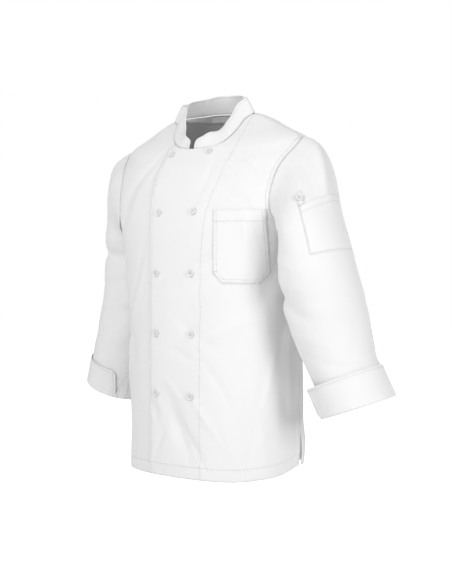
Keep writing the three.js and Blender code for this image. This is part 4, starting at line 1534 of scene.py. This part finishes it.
@dataclass
class Pockets:
    """The patch pocket on the chest, the one on the sleeve and the tab above it."""

    finishes: Finishes
    chest_top: float = -213
    chest_height: float = 150
    chest_width: float = 120
    chest_corner: float = 22
    chest_left: tuple[float, float] = (36.6, 36.4)
    chest_right: tuple[float, float] = (66, 71)
    sleeve_top: float = 115
    sleeve_height: float = 91
    sleeve_from: float = 0.333
    sleeve_width: float = 105
    tab_width: float = 12
    tab_height: float = 24
    girth: float = 490

    @staticmethod
    def edge_gap(u: Array, v: Array, width: float, height: float) -> Array:
        """Distance in from the sides and the bottom of a patch that is sewn on there."""
        return np.minimum(np.minimum(u, 1 - u) * width, (1 - v) * height)

    @staticmethod
    def outline(outer: Array) -> Array:
        """The sewn outline: down one side, along the bottom and up the other side."""
        return np.concatenate([outer[:, 0], outer[-1], outer[::-1, -1]])

    def patch(self, name: str, place: Callable[[Array], Array], gap: Array, puff: Array) -> tuple[Surface, dict]:
        """Lays a patch on a surface: sewn flat at its edges, and a little full in its middle.

        Args:
            name: Name for the log.
            place: Gives the patch's points at a lift off the cloth below.
            gap: Distance in from the sewn edges.
            puff: How full the patch is.

        Returns:
            Its wall, and the measures of its rows.
        """
        high = 0.9 + 0.9 * smooth(gap, 0, 3.5) + puff
        outer = place(CLOTH + high + 0.3)
        surface = Surface(outer, place(CLOTH + np.minimum(high - 0.6, 0.25 + puff)), Surface.flat_place(outer))
        measured = {"sides": distance_to(outer, self.outline(outer)), "mouth": distance_to(outer, outer[0])}
        LOG.info("%s: %.0f mm across its top", name, lengths_along(outer[0])[-1])
        return surface, measured

    def chest(self) -> None:
        """The chest pocket, its lower corners cut off."""
        u, v = np.linspace(0, 1, 72)[None, :], np.linspace(0, 1, 84)[:, None]
        left, right = mix(*self.chest_left, v), mix(*self.chest_right, v)
        edge = np.minimum(u, 1 - u) * self.chest_width
        floor = self.chest_top - self.chest_height + np.maximum(0, self.chest_corner - edge)
        z = mix(self.chest_top, floor, v)
        angle = mix(left, right, u)
        gap = self.edge_gap(u, v, self.chest_width, self.chest_height)
        puff = 0.9 * smooth(gap, 0, 30) * np.exp(-((v / 0.3) ** 2))

        def place(lift: Array) -> Array:
            """Points that stand off the left front."""
            return BODY.point(angle, z, BODY.lap(angle) + lift)

        surface, measured = self.patch("chest pocket", place, gap, puff)
        piece = make_sheet("chest_pocket_cloth", surface, measured)
        rows = (SewnRow("sides", 2), SewnRow("sides", 8), SewnRow("mouth", 24))
        material = self.finishes.cotton("Chest pocket cotton", WHITE, rows)
        dress(piece, "chest_pocket", material, Cut(0.128, 0.152, 0.0185))

    def sleeve(self) -> None:
        """The pocket on the left sleeve."""
        u, v = np.linspace(0, 1, 60)[None, :], np.linspace(0, 1, 64)[:, None]
        turn = self.sleeve_from + u * self.sleeve_width / self.girth
        along = self.sleeve_top + v * self.sleeve_height
        gap = self.edge_gap(u, v, self.sleeve_width, 115)
        puff = 0.5 * smooth(gap, 0, 24) * np.exp(-((v / 0.3) ** 2))

        def place(lift: Array) -> Array:
            """Points that stand off the left sleeve."""
            return LEFT_ARM.point(turn, along, lift)

        surface, measured = self.patch("sleeve pocket", place, gap, puff)
        piece = make_sheet("sleeve_pocket_cloth", surface, measured)
        rows = (SewnRow("sides", 2), SewnRow("mouth", 14))
        material = self.finishes.cotton("Sleeve pocket cotton", WHITE, rows)
        dress(piece, "sleeve_pocket", material, Cut(0.106, 0.125, 0.0125))

    def tab(self) -> None:
        """The tab that runs from below the sleeve's button to the pocket's corner."""
        u, v = np.linspace(0, 1, 14)[None, :], np.linspace(0, 1, 26)[:, None]
        turn = self.sleeve_from + u * self.tab_width / self.girth
        along = self.sleeve_top - 1 - self.tab_height * (1 - v)
        gap = self.edge_gap(u, v, self.tab_width, self.tab_height)
        outer = LEFT_ARM.point(turn, along, CLOTH + 1.4 + 0.5 * smooth(gap, 0, 2))
        inner = LEFT_ARM.point(turn, along, CLOTH + 0.5)
        surface = Surface(outer, inner, Surface.flat_place(outer))
        piece = make_sheet("sleeve_tab_cloth", surface, {"sides": distance_to(outer, self.outline(outer))})
        material = self.finishes.cotton("Tab cotton", WHITE, (SewnRow("sides", 2),))
        dress(piece, "sleeve_tab", material, Cut(0.012, 0.029))

    def build(self) -> None:
        """Makes the two pockets and the tab."""
        self.chest()
        self.sleeve()
        self.tab()


@dataclass
class NeckFinish:
    """The tape that covers the neck's seam inside the back, and the bare label sewn below it."""

    finishes: Finishes
    tape_from: float = 138
    tape_to: float = 222
    tape_height: float = 10
    label_width: float = 36
    label_height: float = 24
    label_drop: float = 5

    def tape(self) -> None:
        """A band along the neckline on the back's inner face."""
        angle = np.linspace(self.tape_from, self.tape_to, 120)[None, :]
        down = np.linspace(0, 1, 12)[:, None]
        z = BODY.neck(angle) - 2 - self.tape_height * down
        lift = -1.1 - 2.4 * down
        outer = BODY.point(angle, z, lift + 0 * angle)
        surface = Surface(outer, BODY.point(angle, z, lift - 0.8 + 0 * angle), Surface.flat_place(outer))
        measured = {"rim": distance_to(outer, np.concatenate([outer[0], outer[::-1, -1][:1], outer[-1, ::-1]]))}
        piece = make_sheet("neck_tape_cloth", surface, measured)
        material = self.finishes.cotton("Neck tape cotton", (0.84, 0.84, 0.84), (SewnRow("rim", 1.2),), 1.6)
        dress(piece, "neck_tape", material, Cut(0.115, 0.018))

    def label(self) -> None:
        """A bare label, its ends folded under."""
        half = np.degrees(self.label_width / 2 / 88)
        angle = np.linspace(180 - half, 180 + half, 40)[None, :]
        down = np.linspace(0, 1, 30)[:, None]
        z = BODY.neck(np.array(180.0)) - self.label_drop - self.label_height * down
        lift = -4.8 - 0.3 * np.sin(np.pi * down) + 0 * angle
        outer = BODY.point(angle, z + 0 * angle, lift)
        surface = Surface(outer, BODY.point(angle, z + 0 * angle, lift - 0.7), Surface.flat_place(outer))
        sides = np.concatenate([outer[0], outer[::-1, -1][:1], outer[-1, ::-1]])
        piece = make_sheet("neck_label_cloth", surface, {"rim": distance_to(outer, sides)})
        material = self.finishes.cotton("Label satin", (0.88, 0.88, 0.88), (SewnRow("rim", 1.8),), 0.4)
        dress(piece, "neck_label", material, Cut(0.036, 0.028))

    def build(self) -> None:
        """Makes the tape and the label."""
        self.tape()
        self.label()


@dataclass
class Buttons:
    """Four-hole buttons sewn on in two columns, and one on the sleeve."""

    finishes: Finishes
    radius: float = 7.8
    height: float = 3.2
    rim: float = 1.7
    dish: float = 0.7
    clearance: float = 0.35
    hole_radius: float = 1.0
    hole_spacing: float = 2.1
    slot_half_length: float = 9.5
    slot_half_width: float = 1.6
    slot_shift: float = 2.5
    first: float = -87.3
    pitch: float = 126.9
    first_half_spacing: float = 50.7
    half_spacing: float = 46.3

    def disc(self) -> tuple[Array, list[Array]]:
        """The button: its profile turned round its axis, the dish sunk at the holes.

        Returns:
            Its points, the two on the axis last, and its faces.
        """
        r_top = np.linspace(0.35, self.radius - self.rim - 0.9, 15)
        bend = np.linspace(0, np.pi / 2, 6)
        r = np.concatenate(
            [
                r_top,
                [self.radius - self.rim - 0.5, self.radius - self.rim, self.radius - 1.2],
                self.radius - 0.8 + 0.8 * np.sin(bend),
                [self.radius, self.radius - 0.3, self.radius - 1.2, self.radius / 2, 0.35],
            ]
        )
        h = np.concatenate(
            [
                np.full(15, self.height - self.dish),
                [self.height - 0.45, self.height - 0.1, self.height],
                self.height - 0.8 + 0.8 * np.cos(bend),
                [1.1, 0.4, 0, 0, 0],
            ]
        )
        theta = np.linspace(0, 2 * np.pi, 72, endpoint=False)[None, :]
        x, y = r[:, None] * np.cos(theta), r[:, None] * np.sin(theta)
        level = h[:, None] * np.ones_like(theta)
        hole = np.hypot(np.abs(x) - self.hole_spacing, np.abs(y) - self.hole_spacing)
        sunk = 1.7 * (1 - smooth(hole, self.hole_radius - 0.25, self.hole_radius + 0.15))
        level = level - np.where(np.arange(len(r))[:, None] < 15, sunk, 0)
        points = np.stack([x, y, level], axis=-1)
        rows, around = x.shape
        index = np.arange(rows * around).reshape(rows, around)
        ahead = np.roll(index, -1, axis=1)
        quads = np.stack([index[:-1], index[1:], ahead[1:], ahead[:-1]], axis=-1).reshape(-1, 4)
        top, low = rows * around, rows * around + 1
        fans = [
            np.stack([np.full(around, top), index[0], ahead[0]], axis=-1),
            np.stack([np.full(around, low), ahead[-1], index[-1]], axis=-1),
        ]
        poles = np.array([[0, 0, self.height - self.dish], [0, 0, 0.0]])
        return np.concatenate([points.reshape(-1, 3), poles]), [quads, *fans]

    def strands(self) -> tuple[Array, Array]:
        """Crossed threads: tubes on low arches from hole to hole.

        Returns:
            Points and quads.
        """
        t = np.linspace(0, 1, 13)[:, None]
        theta = np.linspace(0, 2 * np.pi, 8, endpoint=False)[None, :]
        points, faces = [], []
        for turn, shift in ((45, -0.35), (45, 0.35), (-45, -0.35), (-45, 0.35)):
            reach = self.hole_spacing * np.sqrt(2) * (2 * t - 1)
            arch = self.height - self.dish + 0.45 - 1.3 * np.abs(2 * t - 1) ** 6 + (0.3 if turn > 0 else 0)
            side = shift + 0.36 * np.cos(theta)
            a = np.radians(turn)
            x = reach * np.cos(a) - side * np.sin(a)
            y = reach * np.sin(a) + side * np.cos(a)
            points.append(stack(x, y, arch + 0.36 * np.sin(theta)).reshape(-1, 3))
            index = np.arange(t.size * theta.size).reshape(t.size, theta.size)
            index = index + (len(points) - 1) * index.size
            ahead = np.roll(index, -1, axis=1)
            faces.append(np.stack([index[:-1], index[1:], ahead[1:], ahead[:-1]], axis=-1).reshape(-1, 4))
        return np.concatenate(points), np.concatenate(faces)

    def sew(self, name: str, seat: Array, normal: Array) -> None:
        """Puts a button on its seat, its face along the normal and two holes upright.

        Args:
            name: Its solid's name.
            seat: Where it stands.
            normal: Which way it faces.
        """
        side = unit(np.cross([0, 0, 1.0], normal))
        turn = np.stack([side, np.cross(normal, side), normal])
        place = seat + normal * self.clearance
        disc, disc_faces = self.disc()
        strands, strand_faces = self.strands()
        points = np.concatenate([disc, strands]) @ turn + place
        piece = make_object(f"{name}_sewn", points, [*disc_faces, strand_faces + len(disc)])
        piece.data.materials.append(self.plastic_material)
        piece.data.materials.append(self.thread_material)
        counts = sum(len(part) for part in disc_faces)
        slots = np.concatenate([np.zeros(counts, np.int32), np.ones(len(strand_faces), np.int32)])
        piece.data.polygons.foreach_set("material_index", slots)
        fit(piece, Kind.BUTTON, name)

    def buttonholes(self) -> None:
        """Worked slots under the lap's buttons: a low ring of satin stitches round each slot.

        Its section is a low half circle, carried round a long oval |x/a|^3 + |y/b|^3 = 1.
        """
        theta = np.linspace(0, 2 * np.pi, 96, endpoint=False)[:, None]
        section = np.linspace(0, 2 * np.pi, 8, endpoint=False)[None, :]
        points, faces = [], []
        for row in range(5):
            z = self.first - row * self.pitch
            x = -(self.first_half_spacing if row == 0 else self.half_spacing)
            ridge = 0.12 * np.sin(48 * theta)
            away = 1 + (0.9 * np.cos(section)) / 2.2
            oval_x = self.slot_half_length * np.sign(np.cos(theta)) * np.abs(np.cos(theta)) ** (2 / 3)
            oval_y = self.slot_half_width * np.sign(np.sin(theta)) * np.abs(np.sin(theta)) ** (2 / 3)
            across = x + self.slot_shift + oval_x + 0.9 * np.cos(section) * np.cos(theta)
            up = z + oval_y * away
            angle = BODY.angle_at(across, up)
            lift = CLOTH + 0.18 + (0.2 + ridge) * np.sin(section)
            points.append(BODY.point(angle, up, BODY.lap(angle) + lift).reshape(-1, 3))
            index = np.arange(theta.size * section.size).reshape(theta.size, section.size) + row * theta.size * 8
            ahead, over = np.roll(index, -1, axis=0), np.roll(index, -1, axis=1)
            quads = np.stack([index, ahead, np.roll(ahead, -1, axis=1), over], axis=-1)
            faces.append(quads.reshape(-1, 4))
        piece = make_object("buttonholes", np.concatenate(points), [np.concatenate(faces)])
        piece.data.materials.append(self.thread_material)
        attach(piece, "root")
        LOG.info("buttonholes: %d faces", len(piece.data.polygons))

    def build(self) -> None:
        """Sews the ten front buttons and the sleeve's."""
        self.plastic_material = self.finishes.plastic()
        self.thread_material = self.finishes.thread()
        for row in range(5):
            z = np.array(self.first - row * self.pitch)
            half = self.first_half_spacing if row == 0 else self.half_spacing
            for name, sign in (("left", 1), ("right", -1)):
                angle = BODY.angle_at(np.array(sign * half), z)
                seat = BODY.point(angle, z, BODY.lap(angle) + CLOTH)
                self.sew(f"button_{name}_{row + 1}", seat, BODY.normal(angle, z))
        turn, along, lift = np.array(0.333 + 6 / 490), np.array(100.0), CLOTH + 2.0
        self.buttonholes()
        seat = LEFT_ARM.point(turn, along, lift)
        across = LEFT_ARM.point(turn + 0.01, along, lift) - LEFT_ARM.point(turn - 0.01, along, lift)
        down = LEFT_ARM.point(turn, along + 5, lift) - LEFT_ARM.point(turn, along - 5, lift)
        self.sew("button_sleeve", seat, unit(np.cross(down, across)))


@dataclass(frozen=True)
class Lamp:
    """A square soft light that looks at the jacket's middle.

    Its azimuth is in degrees from the front towards the wearer's left and its elevation above the
    horizon. Its distance and side are in metres and its power in watts.
    """

    name: str
    azimuth: float
    elevation: float
    power: float
    side: float
    away: float = 2.6
    aim_height: float = -0.4

    def hang(self) -> None:
        """Puts the light in its place, turned to the jacket."""
        azimuth, elevation = np.radians(self.azimuth), np.radians(self.elevation)
        level = np.cos(elevation)
        way = np.array([np.sin(azimuth) * level, -np.cos(azimuth) * level, np.sin(elevation)])
        data = bpy.data.lights.new(self.name, "AREA")
        data.size = self.side
        data.energy = self.power
        lamp = bpy.data.objects.new(self.name, data)
        across = unit(np.cross([0, 0, 1.0], way))
        place = way * self.away + np.array([0, 0, self.aim_height])
        matrix = np.eye(4)
        matrix[:3] = np.stack([across, np.cross(way, across), way, place], axis=-1)
        lamp.matrix_world = Matrix(matrix.tolist())
        bpy.context.scene.collection.objects.link(lamp)


@dataclass
class Studio:
    """The pale floor, the soft lights and the camera at the photograph's angle."""

    heading: float = 37
    distance: float = 2.25
    aim_height: float = -0.33587
    aim_side: float = 0.0241
    pitch: float = 0.0208907
    lens: float = 81.62
    floor_height: float = -1.3
    floor_half: float = 14
    floor_glow: float = 0.9
    soft_light: float = 0.44
    lamps: tuple[Lamp, ...] = (
        Lamp("Side", azimuth=71, elevation=12, power=27, side=0.8),
        Lamp("Front", azimuth=-10, elevation=30, power=35, side=1.5),
        Lamp("Back", azimuth=-165, elevation=28, power=30, side=1.5),
    )

    def frame_axes(self) -> tuple[Array, Array]:
        """The camera's level right and forward directions."""
        turn = np.radians(self.heading)
        return np.array([np.cos(turn), np.sin(turn), 0]), np.array([-np.sin(turn), np.cos(turn), 0])

    def camera(self) -> None:
        """Sets the camera from its heading, distance and pitch."""
        right, level = self.frame_axes()
        forward = level * np.cos(self.pitch) - np.array([0, 0, 1]) * np.sin(self.pitch)
        up = np.cross(right, forward)
        place = -level * self.distance + np.array([0, 0, self.aim_height]) + right * self.aim_side
        data = bpy.data.cameras.new("Camera")
        data.sensor_fit = "HORIZONTAL"
        data.sensor_width = 36
        data.lens = self.lens
        camera = bpy.data.objects.new("Camera", data)
        matrix = np.eye(4)
        matrix[:3] = np.stack([right, up, -forward, place], axis=-1)
        camera.matrix_world = Matrix(matrix.tolist())
        bpy.context.scene.collection.objects.link(camera)
        bpy.context.scene.camera = camera

    def floor(self) -> None:
        """A plain pale floor, as a flat grid."""
        across = np.linspace(-self.floor_half, self.floor_half, 9)
        points = stack(across[None, :], across[:, None], self.floor_height).reshape(-1, 3)
        index = np.arange(len(points)).reshape(len(across), len(across))
        faces = np.stack([index[:-1, :-1], index[:-1, 1:], index[1:, 1:], index[1:, :-1]], axis=-1)
        mesh = bpy.data.meshes.new("Floor")
        mesh.from_pydata(points.tolist(), [], faces.reshape(-1, 4).tolist())
        floor = bpy.data.objects.new("Floor", mesh)
        made, graph, shader = Finishes.start("Pale floor")
        place = graph.add("ShaderNodeTexCoord").outputs["Object"]
        cloud = graph.add("ShaderNodeTexNoise", None, Vector=place, Scale=1.5, Detail=2.0).outputs[0]
        tone = graph.add(
            "ShaderNodeMix", {"data_type": "RGBA"}, _0=cloud, _6=(0.9, 0.9, 0.9, 1), _7=(0.93, 0.93, 0.93, 1)
        )
        graph.link(tone.outputs[2], shader, "Base Color")
        shader.inputs["Roughness"].default_value = 0.9
        shader.inputs["Emission Color"].default_value = (1, 1, 1, 1)
        seen = graph.add("ShaderNodeLightPath").outputs["Is Camera Ray"]
        graph.link(graph.math("MULTIPLY", seen, self.floor_glow), shader, "Emission Strength")
        mesh.materials.append(made)
        bpy.context.scene.collection.objects.link(floor)
        floor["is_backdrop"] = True

    def world(self) -> None:
        """An even pale surrounding, which looks white and lights softly."""
        world = bpy.data.worlds.new("Studio")
        world.use_nodes = True
        graph = Graph(world.node_tree)
        shader = world.node_tree.nodes["Background"]
        seen = graph.add("ShaderNodeLightPath").outputs["Is Camera Ray"]
        strength = graph.math("MULTIPLY_ADD", seen, 1 - self.soft_light, self.soft_light)
        graph.link(strength, shader, "Strength")
        shader.inputs["Color"].default_value = (1, 1, 1, 1)
        bpy.context.scene.world = world
        bpy.context.scene.view_settings.view_transform = "Standard"

    def build(self) -> None:
        """Sets up the whole studio."""
        self.camera()
        self.floor()
        self.world()
        for lamp in self.lamps:
            lamp.hang()


def corners() -> list[list[float]]:
    """The shown object's lowest and highest corner, as plain numbers."""
    return [[float(value) for value in corner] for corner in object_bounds()]


def main() -> None:
    """Dresses the jacket and sets up its studio."""
    logging.basicConfig(level=logging.INFO, format="%(name)s %(message)s")
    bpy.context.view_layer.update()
    finishes = Finishes()
    Studio().build()
    Trunk(finishes).build()
    Sleeve(finishes, LEFT_ARM, "left", 0.07).build()
    Sleeve(finishes, RIGHT_ARM, "right", 0.142).build()
    Collar(finishes).build()
    Pockets(finishes).build()
    NeckFinish(finishes).build()
    Buttons(finishes).build()


if __name__ == "__main__":
    main()
